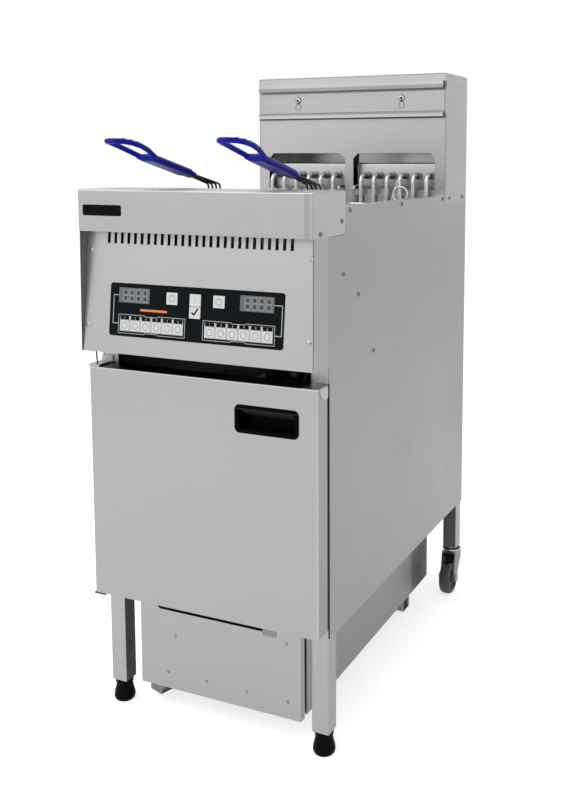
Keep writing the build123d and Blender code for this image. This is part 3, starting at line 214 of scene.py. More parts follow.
black_plastic = surface(
    "black_moulded_plastic", even(0.002), roughness=0.38, grain=even(400), contrast=0.3, relief=0.00006,
    specular=0.05,
)
dress(black_plastic, "cable_gland")


# Panel screws: pan-head steel screws with a cross recess, driven through the edges of the side
# sheets, the hood, the cowl and the rear panel into the frame.
def settled():
    """Set the place, turn and size of what is selected into its mesh."""
    bpy.ops.object.transform_apply(location=True, rotation=True, scale=True)
    return bpy.context.object


def finished(name, material, body, slot, *replaced):
    """Name the active piece, set its place into its mesh, finish it and let it ride on its body."""
    piece = settled()
    piece.name = piece.data.name = name
    piece.data.materials.clear()
    piece.data.materials.append(material)
    bpy.ops.object.shade_smooth_by_angle(angle=math.radians(35))
    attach(piece, body)
    if replaced:
        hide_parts(*replaced)
    bpy.ops.object.select_all(action="DESELECT")


def taken_up(piece):
    """Make a piece the active one and select it alone."""
    bpy.ops.object.select_all(action="DESELECT")
    piece.select_set(True)
    bpy.context.view_layer.objects.active = piece


def joined(pieces):
    """Join pieces into the first of them."""
    taken_up(pieces[0])
    for piece in pieces:
        piece.select_set(True)
    bpy.ops.object.join()
    return bpy.context.object


def modified(piece, kind, **settings):
    """Put a modifier on a piece and apply it."""
    taken_up(piece)
    step = piece.modifiers.new(kind.lower(), kind)
    for key, value in settings.items():
        setattr(step, key, value)
    bpy.ops.object.modifier_apply(modifier=step.name)


def cut_away(piece, cutter):
    """Cut one piece's shape out of another."""
    modified(piece, "BOOLEAN", object=cutter)
    bpy.data.objects.remove(cutter)


def copies(piece, places):
    """Copies of a piece, each with its own mesh, at the given places, joined into one."""
    made = []
    for place in places:
        taken_up(piece)
        bpy.ops.object.duplicate()
        bpy.context.object.matrix_world = place
        made.append(bpy.context.object)
    bpy.data.objects.remove(piece)
    return joined(made)


def at(place, turn=Matrix()):
    """The matrix that turns a piece and brings it to its place."""
    return Matrix.Translation(place) @ turn


def turned(rings, sides=40, place=(0, 0, 0), closed=False):
    """A round piece: a circle extruded up from ring to ring, each given as its radius and height."""
    first_radius, first_height = rings[0]
    x, y, z = place
    bpy.ops.mesh.primitive_circle_add(vertices=sides, radius=first_radius, location=(x, y, z + first_height))
    settled()
    bpy.ops.object.mode_set(mode="EDIT")
    bpy.ops.mesh.select_all(action="SELECT")
    for (radius, height), (wider, higher) in zip(rings, rings[1:]):
        bpy.ops.mesh.extrude_region_move(TRANSFORM_OT_translate={"value": (0, 0, higher - height)})
        growth = wider / radius
        bpy.ops.transform.resize(value=(growth, growth, 1), center_override=(x, y, z + higher))
    bpy.ops.mesh.select_all(action="SELECT")
    if closed:
        bpy.ops.mesh.remove_doubles(threshold=1e-6)
    else:
        bpy.ops.mesh.fill_holes(sides=0)
    bpy.ops.mesh.normals_make_consistent(inside=False)
    bpy.ops.object.mode_set(mode="OBJECT")
    return bpy.context.object


def screw_head(radius, height):
    """The head of a pan-head screw that stands on the origin, with a cross recess."""
    shoulder, crown, tip = (radius, 0.35 * height), (0.85 * radius, 0.75 * height), (0.5 * radius, height)
    head = turned(((radius, 0), shoulder, crown, tip), sides=20)
    for turn in (0, math.pi / 2):
        bpy.ops.mesh.primitive_cube_add(size=1, location=(0, 0, height), rotation=(0, 0, turn))
        blade = bpy.context.object
        blade.scale = (1.2 * radius, 0.3 * radius, height)
        cut_away(head, blade)
    return head


# The panel screws take a dark grey as painted shade.
shaded_screw_steel = surface(
    "screw_steel_painted_shade", even(0.20), roughness=0.22, grain=even(250), contrast=0.2, relief=0.00002,
    metallic=1.0,
)
to_rear = Matrix.Rotation(-math.pi / 2, 4, "X")
to_right = Matrix.Rotation(math.pi / 2, 4, "Y")
to_left = Matrix.Rotation(-math.pi / 2, 4, "Y")
panel_screw_radius, panel_screw_height = 0.0042, 0.0018
panel_face_x, rear_screw_x, rear_face_y = 0.2225, 0.205, 0.412
deck_row = [(y, 0.914) for y in (-0.2315, 0.0075, 0.249, 0.294, 0.385)]
hood_pair = [(-0.3455, 0.882), (-0.265, 0.898)]
panel_row = [(-0.2585, 0.811), (-0.1965, 0.770), (-0.1285, 0.661)]
rear_heights = (0.29, 0.49, 0.69, 0.89)
screw_places = []
for side, outward in ((-1, to_left), (1, to_right)):
    screw_places += [at((side * panel_face_x, y, z), outward) for y, z in deck_row + hood_pair + panel_row]
    screw_places += [at((side * rear_screw_x, rear_face_y, z), to_rear) for z in rear_heights]
copies(screw_head(panel_screw_radius, panel_screw_height), screw_places)
finished("panel_screws", shaded_screw_steel, "cabinet", "zinc")


# Hanger screws: two button-head screws with a hexagon socket, on which the hanger strip hangs by
# its keyholes; the wide foot of each keyhole shows below the head as a thin edge, near black as
# painted shade.
def washer(outer, inner, height, sides, place=(0, 0, 0)):
    """A flat ring."""
    rings = ((outer, 0), (outer, height), (inner, height), (inner, 0), (outer, 0))
    return turned(rings, sides, place, closed=True)


zinc = surface(
    "bright_zinc_plate", even(0.44), roughness=0.28, grain=even(250), contrast=0.12, relief=0.00002,
    metallic=1.0,
)
shadow_steel = surface(
    "shadowed_steel", even(0.07), roughness=0.5, grain=even(300), contrast=0.2, metallic=1.0
)
to_front = Matrix.Rotation(math.pi / 2, 4, "X")
hanger_screw_x, hanger_face_y, hanger_screw_z = 0.123, 0.2665, 1.126
button_rings = ((0.0072, 0), (0.0074, 0.0006), (0.0066, 0.0024), (0.0048, 0.0036), (0.0034, 0.0038))
socket_shade_rings = ((0.0030, 0.0008), (0.0030, 0.0036), (0.0016, 0.0034))
socket_radius, socket_depth, button_height = 0.0029, 0.0056, 0.0038
keyhole_drop, keyhole_outer, keyhole_inner, keyhole_edge = 0.0145, 0.0072, 0.0062, 0.0003
screw_spots, keyhole_spots = (
    [at((side * hanger_screw_x, hanger_face_y, hanger_screw_z - drop), to_front) for side in (-1, 1)]
    for drop in (0, keyhole_drop)
)
button = turned(button_rings, sides=32)
bpy.ops.mesh.primitive_cylinder_add(
    vertices=6, radius=socket_radius, depth=socket_depth, location=(0, 0, button_height)
)
cut_away(button, bpy.context.object)
copies(button, screw_spots)
finished("hanger_screws", zinc, "cabinet", "zinc")
# A black plug in each socket, as painted shade in its recess
copies(turned(socket_shade_rings, sides=6), screw_spots)
finished("hanger_socket_painted_shade", black_plastic, "cabinet", "black_moulding")
copies(washer(keyhole_outer, keyhole_inner, keyhole_edge, sides=32), keyhole_spots)
finished("hanger_keyholes", shadow_steel, "cabinet", "stainless")


# Vat: deck and oil tank welded from stainless sheet. Two terminal boxes folded from the same sheet
# stand behind the riser's windows and hold the ends of the heating elements.
def block(size, place=(0, 0, 0)):
    """A cube stretched to a size at its place."""
    bpy.ops.mesh.primitive_cube_add(size=1, location=place)
    bpy.context.object.scale = size
    return settled()


def softened(offset, segments):
    """Round all the edges of the active piece."""
    bpy.ops.object.mode_set(mode="EDIT")
    bpy.ops.mesh.select_all(action="SELECT")
    bpy.ops.mesh.bevel(offset=offset, segments=segments, affect="EDGES")
    bpy.ops.object.mode_set(mode="OBJECT")
    return bpy.context.object


deck_steel = surface(
    "deck_brushed_steel", steel_colour, roughness=0.34, grain=(320, 3, 320), contrast=0.07,
    relief=0.00002, metallic=1.0,
)
dress(deck_steel, "oil_tank")
dress(level_steel, "element_straps")
box_low, box_high, box_fold = Vector((0.011, 0.288, 0.920)), Vector((0.212, 0.388, 0.988)), 0.003
box_middle = (box_low + box_high) / 2
boxes = []
for side in (-1, 1):
    block(box_high - box_low, (side * box_middle.x, box_middle.y, box_middle.z))
    boxes.append(softened(box_fold, segments=4))
joined(boxes)
# Painted shade on the covers' inner ends, between the two terminal boxes
cover_end_painted_shade = ((0.04, (along_x, -0.0125, 0.0125)),)
cover_steel_with_painted_shade = brushed_sheet("cover_steel_painted_shade", cover_end_painted_shade)
finished("element_covers", cover_steel_with_painted_shade, "cabinet", "stainless", "terminal_boxes")


# Heating elements: sheathed tubes bent into hairpins, bright above the oil, clamped by nuts in the
# terminal boxes, darkened as painted shade. Probes, the basket rack and its lift ring stand in the
# tank beside them.
def hexagon_nut(radius, height, rounding, lift=0.0):
    """A six-sided nut on the upright axis, its middle at a height."""
    bpy.ops.mesh.primitive_cylinder_add(vertices=6, radius=radius, depth=height, location=(0, 0, lift))
    settled()
    return softened(rounding, segments=2)


bright_tube = surface(
    "bright_sheath_tube", (0.74, 0.74, 0.73), roughness=0.24, grain=even(60), contrast=0.2,
    relief=0.00002, metallic=0.4,
)
shaded_nut_steel = surface(
    "nut_steel_painted_shade", even(0.20), roughness=0.35, grain=even(250), contrast=0.3, relief=0.00004,
    metallic=1.0,
)
bright_wire = surface(
    "bright_plated_wire", even(0.52), roughness=0.25, grain=even(300), contrast=0.12, relief=0.00002,
    metallic=1.0,
)
white_wire = surface(
    "polished_ring_wire", even(0.90), roughness=0.3, grain=even(300), contrast=0.1, relief=0.00002,
    metallic=0.2,
)
dress(bright_tube, "heating_elements")
bank_count, first_element_x, element_pitch, element_top_z = 6, 0.0337, 0.0300, 0.962
thread_turns = 6
thread_foot_y, thread_radius, thread_pitch, thread_depth = 0.270, 0.0056, 0.0022, 0.0009
flange_foot, flange_top = 0.0134, 0.0140
nut_radius, nut_height, nut_rounding, nut_lift = 0.0086, 0.006, 0.0009, 0.0165
thread = []
for index in range(thread_turns):
    lift = index * thread_pitch
    thread += [(thread_radius, lift), (thread_radius - thread_depth, lift + thread_pitch / 2)]
thread += [(nut_radius, flange_foot), (nut_radius, flange_top)]
gland_places = []
for side in (-1, 1):
    for index in range(bank_count):
        x = side * (first_element_x + index * element_pitch)
        gland_places.append(at((x, thread_foot_y, element_top_z), to_rear))
nut = hexagon_nut(nut_radius, nut_height, nut_rounding, nut_lift)
copies(joined([turned(thread, sides=20), nut]), gland_places)
finished("element_glands", shaded_nut_steel, "cabinet", "dark_tube", "element_nuts")
dress(level_steel, "temperature_probes")
dress(bright_wire, "basket_rack")
dress(white_wire, "rack_lift_ring")

# Console: folded hood, cheeks and sloping fascia of stainless sheet round the control board, the
# fascia held by four screws.
hood_painted_light = (
    (0.82, (along_x, 0.2075, 0.2165), (along_y, -0.373, -0.3705)),  # painted shade on the front, beside its right fold
    (1.15, (along_x, 0.2219, 0.2230, 0.4449), (along_z, 0.870, 0.9455)),  # painted highlight on both ends
)
dress(brushed_sheet("hood_steel_painted_light", hood_painted_light), "console_hood")
cheek_painted_shade = (
    (0.55, (along_x, -0.2217, 0.2217)),  # painted shade on the inner faces
    (0.22, (along_x, 0.2212, 0.2223, 0.4435)),  # painted shadow on the front edges, as dark seams beside the fascia
)
dress(brushed_sheet("cheek_steel_painted_shade", cheek_painted_shade), "console_cheeks")
board_green = surface("circuit_board", (0.02, 0.12, 0.05), roughness=0.45, grain=even(500), contrast=0.3)
dress(board_green, "controller_board")
fascia_foot_y, fascia_foot_z, fascia_run, fascia_rise = -0.3705, 0.669, 0.0225, 0.207
fascia_tilt = math.atan2(fascia_run, fascia_rise)
tilt_sin, tilt_cos = math.sin(fascia_tilt), math.cos(fascia_tilt)
fascia = Matrix((
    (1, 0, 0, 0),
    (0, tilt_sin, -tilt_cos, fascia_foot_y),
    (0, tilt_cos, tilt_sin, fascia_foot_z),
    (0, 0, 0, 1),
))
up_sheet, out_of_sheet = (0, tilt_sin, tilt_cos), (0, -tilt_cos, tilt_sin)
sheet_foot = fascia_foot_y * tilt_sin + fascia_foot_z * tilt_cos
sheet_front = fascia_foot_z * tilt_sin - fascia_foot_y * tilt_cos
slot_row, slot_rims = (along_x, -0.180, 0.180), (along_x, -0.0029, 0.0029, 0.0135)
slot_foot, slot_head, slot_depth, sheet_skin = 0.187, 0.215, 0.003, 0.0001
slot_heights = (up_sheet, sheet_foot + slot_foot, sheet_foot + slot_head)
slot_painted_shade = (
    (0.03, (out_of_sheet, sheet_front - slot_depth, sheet_front - sheet_skin)),  # painted shade on the walls of the slots
    (0.04, slot_rims, slot_row, slot_heights),  # painted shade on the rims of the slots
)
dress(brushed_sheet("fascia_steel_painted_shade", slot_painted_shade), "control_fascia")
fascia_screw_radius, fascia_screw_height = 0.0045, 0.002
fascia_screw_x, fascia_screw_heights = 0.211, (0.045, 0.1745)
copies(screw_head(fascia_screw_radius, fascia_screw_height), [
    fascia @ at((side * fascia_screw_x, up, 0)) for side in (-1, 1) for up in fascia_screw_heights
])
finished("fascia_screws", zinc, "cabinet", "zinc")


# Name plate: a blank plate of black enamelled sheet with rounded corners and a soft rim, stuck on
# the hood's front at its left end.
def plate(size, corner, thickness, place=(0, 0, 0), rim=0.0):
    """A flat plate with rounded corners that stands up from its place, its upper edge softened by a rim."""
    bpy.ops.mesh.primitive_plane_add(size=1, location=place)
    bpy.context.object.scale = (*size, 1)
    settled()
    bpy.ops.object.mode_set(mode="EDIT")
    bpy.ops.mesh.select_all(action="SELECT")
    if corner:
        bpy.ops.mesh.bevel(offset=corner, segments=5, affect="VERTICES")
    bpy.ops.mesh.extrude_region_move(TRANSFORM_OT_translate={"value": (0, 0, thickness)})
    if rim:
        bpy.ops.mesh.inset(thickness=rim, depth=rim)
    bpy.ops.mesh.select_all(action="SELECT")
    bpy.ops.mesh.normals_make_consistent(inside=False)
    bpy.ops.object.mode_set(mode="OBJECT")
    return bpy.context.object


plate_enamel = surface(
    "black_enamel", even(0.002), roughness=0.3, grain=even(300), contrast=0.3, specular=0.05
)
name_plate_size, name_plate_place = (0.079, 0.0185), (-0.1725, -0.372, 0.912)
name_plate_corner, name_plate_sheet, name_plate_rim = 0.0032, 0.0005, 0.0004
name_plate = plate(name_plate_size, name_plate_corner, name_plate_sheet, rim=name_plate_rim)
name_plate.matrix_world = at(name_plate_place, to_front)
finished("name_plate", plate_enamel, "cabinet", "black_moulding")


# Keypad: polyester film printed near black, with white key tops embossed in it, grey lines round
# the two groups of keys, and two display windows with unlit digits behind them.
def ink_print(name, colour, roughness=0.5, contrast=0.15, specular=0.5):
    """A thin printed layer."""
    return surface(
        name, colour, roughness=roughness, grain=even(600), contrast=contrast, relief=0.00001,
        specular=specular,
    )


film = surface(
    "printed_film", (0.0045, 0.0065, 0.0085), roughness=0.35, grain=even(900), contrast=0.15,
    relief=0.00001, specular=0.04,
)
dress(film, "keypad_overlay")
display_glass = surface(
    "display_window", (0.135, 0.145, 0.15), roughness=0.3, grain=even(200), contrast=0.15,
    relief=0.00001, specular=0.2,
)
dress(display_glass, "display_windows")
key_white = surface("embossed_white_key", (0.60, 0.61, 0.60), roughness=0.45, grain=even(400), contrast=0.1)
line_grey = ink_print("printed_grey_line", (0.40, 0.42, 0.41))
mark_black = ink_print("printed_black_mark", even(0.003), contrast=0.2, specular=0.05)
bar_orange = ink_print("printed_orange_bar", (0.72, 0.20, 0.03))
ring_grey = ink_print("printed_ring", (0.25, 0.26, 0.25))
digit_grey = ink_print("display_segment", (0.20, 0.21, 0.22), roughness=0.4)
display_dark = ink_print("display_dark_square", (0.03, 0.032, 0.036), roughness=0.4)
film_top, ink, key_rim, key_corner = 0.0010, 0.00012, 0.0005, 0.0012
key_top = film_top + ink + key_rim


def on_film(pieces, name, material):
    """Join pieces laid out flat, lay them on the fascia and finish them."""
    joined(pieces).matrix_world = fascia
    finished(name, material, "cabinet", "overlay")


def select_corners(piece, wanted):
    """In edit mode, select the corners that a test picks by their place."""
    bpy.ops.mesh.select_mode(type="VERT")
    bpy.ops.mesh.select_all(action="DESELECT")
    bpy.ops.object.mode_set(mode="OBJECT")
    for corner in piece.data.vertices:
        corner.select = wanted(corner.co)
    bpy.ops.object.mode_set(mode="EDIT")


def notched_frame(low, high, notch, depth, line):
    """A printed line round a box, stepped inwards between the two notch places at its top and foot."""
    centre = ((low[0] + high[0]) / 2, (low[1] + high[1]) / 2, film_top)
    bpy.ops.mesh.primitive_plane_add(size=1, location=centre)
    bpy.context.object.scale = (high[0] - low[0], high[1] - low[1], 1)
    made = settled()
    bpy.ops.object.mode_set(mode="EDIT")
    for cut in (notch[0] - depth, notch[0], notch[1], notch[1] + depth):
        bpy.ops.mesh.select_all(action="SELECT")
        bpy.ops.mesh.bisect(plane_co=(cut, 0, 0), plane_no=along_x)
    for level, step in ((low[1], depth), (high[1], -depth)):
        select_corners(made, lambda spot: (
            notch[0] - ink < spot.x < notch[1] + ink and abs(spot.y - level) < ink
        ))
        bpy.ops.transform.translate(value=(0, step, 0))
    bpy.ops.mesh.select_all(action="SELECT")
    bpy.ops.mesh.dissolve_faces()
    bpy.ops.mesh.inset(thickness=line)
    bpy.ops.mesh.delete(type="FACE")
    bpy.ops.mesh.select_all(action="SELECT")
    bpy.ops.mesh.extrude_region_move(TRANSFORM_OT_translate={"value": (0, 0, ink)})
    bpy.ops.mesh.select_all(action="SELECT")
    bpy.ops.mesh.normals_make_consistent(inside=False)
    bpy.ops.object.mode_set(mode="OBJECT")
    return made


key_groups = ((-0.1355, -0.1595, -0.149), (0.0318, 0.1635, 0.149))  # first key, outer line, display edge
key_count, key_pitch, key_size, key_v = 6, 0.0214, (0.0188, 0.0168), 0.04905
strip_size, strip_v = (0.0172, 0.0062), 0.062
ground_size, ground_v, group_margin = 0.0258, 0.0523, 0.0096
frame_margin, frame_foot, frame_head, frame_line = 0.0036, 0.0355, 0.0680, 0.0009
notch_half, notch_depth = 0.012, 0.0018
lead_line, lead_upper, lead_lower = 0.0013, 0.100, 0.052
number_size, number_drop = 0.0048, 0.0017
power_us, power_v, power_size = (-0.0427, 0.0476), 0.0995, (0.0216, 0.0203)
double_u, double_foot, double_split, double_head, split_gap = 0.0026, 0.0693, 0.0887, 0.1095, 0.0003
ring_outer, ring_inner, ring_sides = 0.0060, 0.0049, 28
mark_line, power_mark, power_rise, double_mark = 0.0008, 0.0050, 0.003, 0.0080
grounds, frames, keys, strips, rings, numbers = [], [], [], [], [], []
for start, outer, display_edge in key_groups:
    first, last = start - group_margin, start + (key_count - 1) * key_pitch + group_margin
    middle = (first + last) / 2
    grounds.append(plate((last - first, ground_size), 0, ink, (middle, ground_v, film_top)))
    frame_low, frame_high = (first - frame_margin, frame_foot), (last + frame_margin, frame_head)
    notch = (middle - notch_half, middle + notch_half)
    frames.append(notched_frame(frame_low, frame_high, notch, notch_depth, frame_line))
    inner = frame_low[0] if outer < 0 else frame_high[0]
    for level, far in ((lead_upper, display_edge), (lead_lower, inner)):
        frames.append(plate((abs(outer - far), lead_line), 0, ink, ((outer + far) / 2, level, film_top)))
    lead_height = lead_upper - lead_lower + lead_line
    frames.append(plate((lead_line, lead_height), 0, ink, (outer, (lead_upper + lead_lower) / 2, film_top)))
    for index in range(key_count):
        u = start + index * key_pitch
        keys.append(plate(key_size, key_corner, ink, (u, key_v, film_top + ink), rim=key_rim))
        strips.append(plate(strip_size, 0, ink, (u, strip_v, film_top + ink)))
        bpy.ops.object.text_add(location=(u, strip_v - number_drop, film_top + 2 * ink))
        number = bpy.context.object.data
        number.body, number.align_x, number.resolution_u = str(index + 1), "CENTER", 2
        number.size, number.extrude = number_size, ink / 2
        bpy.ops.object.convert(target="MESH")
        numbers.append(settled())
        rings.append(washer(ring_outer, ring_inner, ink, ring_sides, (u, key_v, key_top + ink)))
for u in power_us:
    keys.append(plate(power_size, key_corner, ink, (u, power_v, film_top), rim=key_rim))
    rings.append(washer(ring_outer, ring_inner, ink, ring_sides, (u, power_v, key_top)))
    rings.append(plate((mark_line, power_mark), 0, ink, (u, power_v + power_rise, key_top)))
for low, high in ((double_foot, double_split - split_gap), (double_split + split_gap, double_head)):
    spot = (double_u, (low + high) / 2, film_top)
    keys.append(plate((power_size[0], high - low), key_corner, ink, spot, rim=key_rim))
rings.append(plate((mark_line, double_mark), 0, ink, (double_u, power_v, key_top)))
on_film(grounds, "keypad_grounds", line_grey)
on_film(frames, "keypad_lines", line_grey)
on_film(keys, "keypad_keys", key_white)
on_film(strips, "keypad_strips", mark_black)
on_film(rings, "keypad_rings", ring_grey)
on_film(numbers, "keypad_numbers", key_white)
strip_bar_size, strip_bar_place, strip_bar_corner = (0.0534, 0.0038), (-0.0783, 0.0767, film_top), 0.0005
on_film([plate(strip_bar_size, strip_bar_corner, ink, strip_bar_place)], "keypad_bar", bar_orange)
tick_v, tick_width, tick_corner, tick_rim = 0.0790, 0.0027, 0.0004, 0.00005
tick_strokes = ((0.0058, -48, -0.0038, -0.0016), (0.0140, 54, 0.0020, 0.0014))  # length, turn, place
tick = []
for length, turn, u, v in tick_strokes:
    stroke = plate((length, tick_width), tick_corner, ink, rim=tick_rim)
    lean = Matrix.Rotation(math.radians(turn), 4, "Z")
    stroke.matrix_world = at((double_u + u, tick_v + v, key_top), lean)
    tick.append(settled())
on_film(tick, "keypad_tick", mark_black)

display_face, display_us = 0.0014, (-0.118, 0.118)
digit_count, digit_shift, digit_pitch, digit_v = 4, 0.0022, 0.0130, 0.1003
middle_digit = (digit_count - 1) / 2
bar_width, bar_line, middle_line, bar_corner, bar_rise = 0.0100, 0.0022, 0.0030, 0.0004, 0.0095
stroke_height, stroke_u = 0.0190, 0.0044
square_size, square_corner, square_v = (0.0060, 0.0062), 0.0008, 0.0050
digit_places = [
    fascia @ at((display_u + digit_shift + (index - middle_digit) * digit_pitch, digit_v, display_face))
    for display_u in display_us for index in range(digit_count)
]
segments = [plate((bar_width, middle_line), bar_corner, ink / 2)]
for end in (-1, 1):
    segments.append(plate((bar_width, bar_line), bar_corner, ink / 2, (0, end * bar_rise, 0)))
    segments.append(plate((bar_line, stroke_height), bar_corner, ink / 2, (end * stroke_u, 0, ink / 4)))
copies(joined(segments), digit_places)
finished("display_digits", digit_grey, "cabinet", "display")
# Dark squares inside each digit, between its segments
dark_squares = [plate(square_size, square_corner, ink, (0, end * square_v, 0)) for end in (-1, 1)]
copies(joined(dark_squares), digit_places)
finished("display_dark_squares", display_dark, "cabinet", "display")


# Door: folded pan of stainless sheet with a liner, hung on two pins, with a moulded pull, and the
# ear of its top flange lapped down over the right-hand side.
def bent_wire(points, radius, bend=0.0, sides=8, steps=4, closed=False):
    """A round wire: a circle extruded along each run and spun round each bend."""
    corners = [Vector(point) for point in points]
    along = (corners[1] - corners[0]).normalized()
    facing = along.to_track_quat("Z", "Y").to_euler()
    bpy.ops.mesh.primitive_circle_add(vertices=sides, radius=radius, location=corners[0], rotation=facing)
    settled()
    bpy.ops.object.mode_set(mode="EDIT")
    bpy.ops.mesh.select_all(action="SELECT")
    here = corners[0]
    for index in range(1, len(corners)):
        along = (corners[index] - corners[index - 1]).normalized()
        last = index == len(corners) - 1
        onward = along if last else (corners[index + 1] - corners[index]).normalized()
        turn = along.angle(onward)
        setback = bend * math.tan(turn / 2)
        stop = corners[index] - along * setback
        bpy.ops.mesh.extrude_region_move(TRANSFORM_OT_translate={"value": stop - here})
        if turn > 0.001:
            pivot = along.cross(onward).normalized()
            centre = stop + pivot.cross(along) * bend
            bpy.ops.mesh.spin(steps=steps, angle=turn, center=centre, axis=-pivot)
        here = corners[index] + onward * setback
    bpy.ops.mesh.select_all(action="SELECT")
    if closed:
        bpy.ops.mesh.remove_doubles(threshold=radius / 20)
    else:
        bpy.ops.mesh.fill_holes(sides=0)
    bpy.ops.mesh.normals_make_consistent(inside=False)
    bpy.ops.object.mode_set(mode="OBJECT")
    return bpy.context.object


door_end, door_fold = (along_x, 0.2205, 0.2225), (along_y, -0.3565, -0.3525)
door_painted_light = (
    (0.10, (along_z, 0.6382, 0.6396), (along_x, -0.2, 0.192)),  # painted shade on the top, in the gap under the fascia
    (0.04, (along_y, -0.3205, -0.3165), door_end),  # painted shadow on the rear edge, in the gap beside the door
    (1.3, (along_z, 0.6362, 0.6382), door_fold),  # painted highlight on the upper fold
    (1.25, (along_x, 0.2185, 0.2222), door_fold),  # painted highlight on the right fold
    (0.86, door_end, (along_y, -0.3525, -0.3205)),  # painted shade on the right end
)
dress(brushed_sheet("door_steel_painted_light", door_painted_light), "door_shell")
dress(level_steel, "door_liner")
dress(black_plastic, "door_magnet")
# Painted light on the sloping roof of the pull's recess; the rest stays black
pull_roof_painted_light = ((16, ((0, -0.525, -0.851), -0.3193, -0.3183)),)
pull_plastic_with_painted_light = surface(
    "pull_plastic_painted_light", even(0.002), roughness=0.4, grain=even(400), contrast=0.3, relief=0.00006,
    zones=pull_roof_painted_light, specular=0.02,
)
dress(pull_plastic_with_painted_light, "door_pull")
# Painted shade on the lower hinge bracket, under the door
low_hinge_painted_shade = ((0.25, (along_z, 0.2, 0.3)),)
hinge_steel_with_painted_shade = surface(
    "hinge_steel_painted_shade", steel_colour, roughness=0.4, grain=even(250), contrast=0.12, relief=0.00002,
    zones=low_hinge_painted_shade, metallic=1.0,
)
dress(hinge_steel_with_painted_shade, "hinge_brackets")
# The ear takes a lighter grey than the door, as painted light.
lit_ear_steel = brushed_sheet("ear_steel_painted_light", colour=even(0.50))
door_side_x, ear_front_y, ear_rear_y, ear_top_z, ear_height = 0.2215, -0.352, -0.3185, 0.637, 0.020
ear_slant, ear_rounding, ear_sheet = 0.015, 0.004, 0.0008
bpy.ops.mesh.primitive_plane_add(size=1)
bpy.context.object.scale = (ear_rear_y - ear_front_y, ear_height, 1)
ear = settled()
bpy.ops.object.mode_set(mode="EDIT")
select_corners(ear, lambda spot: spot.y < 0 and spot.x < 0)
bpy.ops.transform.translate(value=(ear_slant, 0, 0))
select_corners(ear, lambda spot: spot.y < 0)
bpy.ops.mesh.bevel(offset=ear_rounding, segments=5, affect="VERTICES")
bpy.ops.mesh.select_all(action="SELECT")
bpy.ops.mesh.extrude_region_move(TRANSFORM_OT_translate={"value": (0, 0, ear_sheet)})
bpy.ops.mesh.select_all(action="SELECT")
bpy.ops.mesh.normals_make_consistent(inside=False)
bpy.ops.object.mode_set(mode="OBJECT")
ear.matrix_world = Matrix((
    (0, 0, 1, door_side_x),
    (1, 0, 0, (ear_front_y + ear_rear_y) / 2),
    (0, 1, 0, ear_top_z - ear_height / 2),
    (0, 0, 0, 1),
))
finished("door_ear", lit_ear_steel, "door", "stainless")
pin_steel = surface(
    "hinge_pin_steel", even(0.05), roughness=0.35, grain=even(300), contrast=0.2, relief=0.00002,
    metallic=1.0,
)
pin_foot, pin_head, pin_radius = (-0.2127, -0.343, 0.640), (-0.2152, -0.343, 0.668), 0.0013
bent_wire([pin_foot, pin_head], pin_radius, sides=10)
finished("upper_hinge_pin", pin_steel, "cabinet", "zinc")

# Basket frames: thick plated wire, a rim bent into a rounded rectangle and two straps under the
# net; four wires rise from the rim's front and bend forward into the grip, darker as painted shade.
shaded_handle_wire = surface(
    "handle_wire_painted_shade", (0.06, 0.06, 0.055), roughness=0.25, grain=even(300), contrast=0.2,
    relief=0.00002, metallic=1.0,
)
baskets = ((-1, "left_basket"), (1, "right_basket"))
basket_x, basket_y = 0.104, 0.048
rim_half_width, rim_half_length, rim_z, rim_wire, rim_bend = 0.085, 0.167, 0.902, 0.003, 0.012
strap_half, strap_foot, strap_spread, strap_wire, strap_bend = 0.0845, 0.7471, 0.085, 0.0025, 0.006
stem_count, handle_pitch, neck_pitch, stem_drop = 4, 0.0084, 0.0040, 0.012
handle_wire, handle_bend = 0.0019, 0.008
neck_y, neck_z, tang, handle_slope = -0.167, 0.961, 0.07, math.radians(13.2)
slope_sin, slope_cos = math.sin(handle_slope), math.cos(handle_slope)


def hoop(x, half_width, half_length, z):
    """The corners of a level rectangle round a basket, begun and ended in the middle of its front."""
    front, rear = basket_y - half_length, basket_y + half_length
    left, right = x - half_width, x + half_width
    corners = [(right, front, z), (right, rear, z), (left, rear, z), (left, front, z)]
    return [(x, front, z), *corners, (x, front, z)]


def cradle(x, half_width, y, top, foot):
    """The corners of a wire that goes down one side of a basket, across below it and up the other."""
    left, right = x - half_width, x + half_width
    return [(left, y, top), (left, y, foot), (right, y, foot), (right, y, top)]


for side, body in baskets:
    x = side * basket_x
    rim_corners = hoop(x, rim_half_width, rim_half_length, rim_z)
    wires = [bent_wire(rim_corners, rim_wire, rim_bend, sides=12, steps=6, closed=True)]
    for y in (basket_y - strap_spread, basket_y + strap_spread):
        strap_corners = cradle(x, strap_half, y, rim_z, strap_foot)
        wires.append(bent_wire(strap_corners, strap_wire, strap_bend, sides=10))
    joined(wires)
    finished(body + "_wires", bright_wire, body, "wire", body + "_frame")
    stem_y = basket_y - rim_half_length - rim_wire - handle_wire
    bend_z = neck_z - (stem_y - neck_y) * math.tan(handle_slope)
    tang_y, tang_z = neck_y - tang * slope_cos, neck_z + tang * slope_sin
    stems = []
    for index in range(stem_count):
        off_middle = index - (stem_count - 1) / 2
        wire_x, neck_x = x + off_middle * handle_pitch, x + off_middle * neck_pitch
        run = [(wire_x, stem_y, rim_z - stem_drop), (wire_x, stem_y, bend_z), (neck_x, tang_y, tang_z)]
        stems.append(bent_wire(run, handle_wire, handle_bend, sides=10, steps=6))
    joined(stems)
    finished(body + "_stems", shaded_handle_wire, body, "wire")

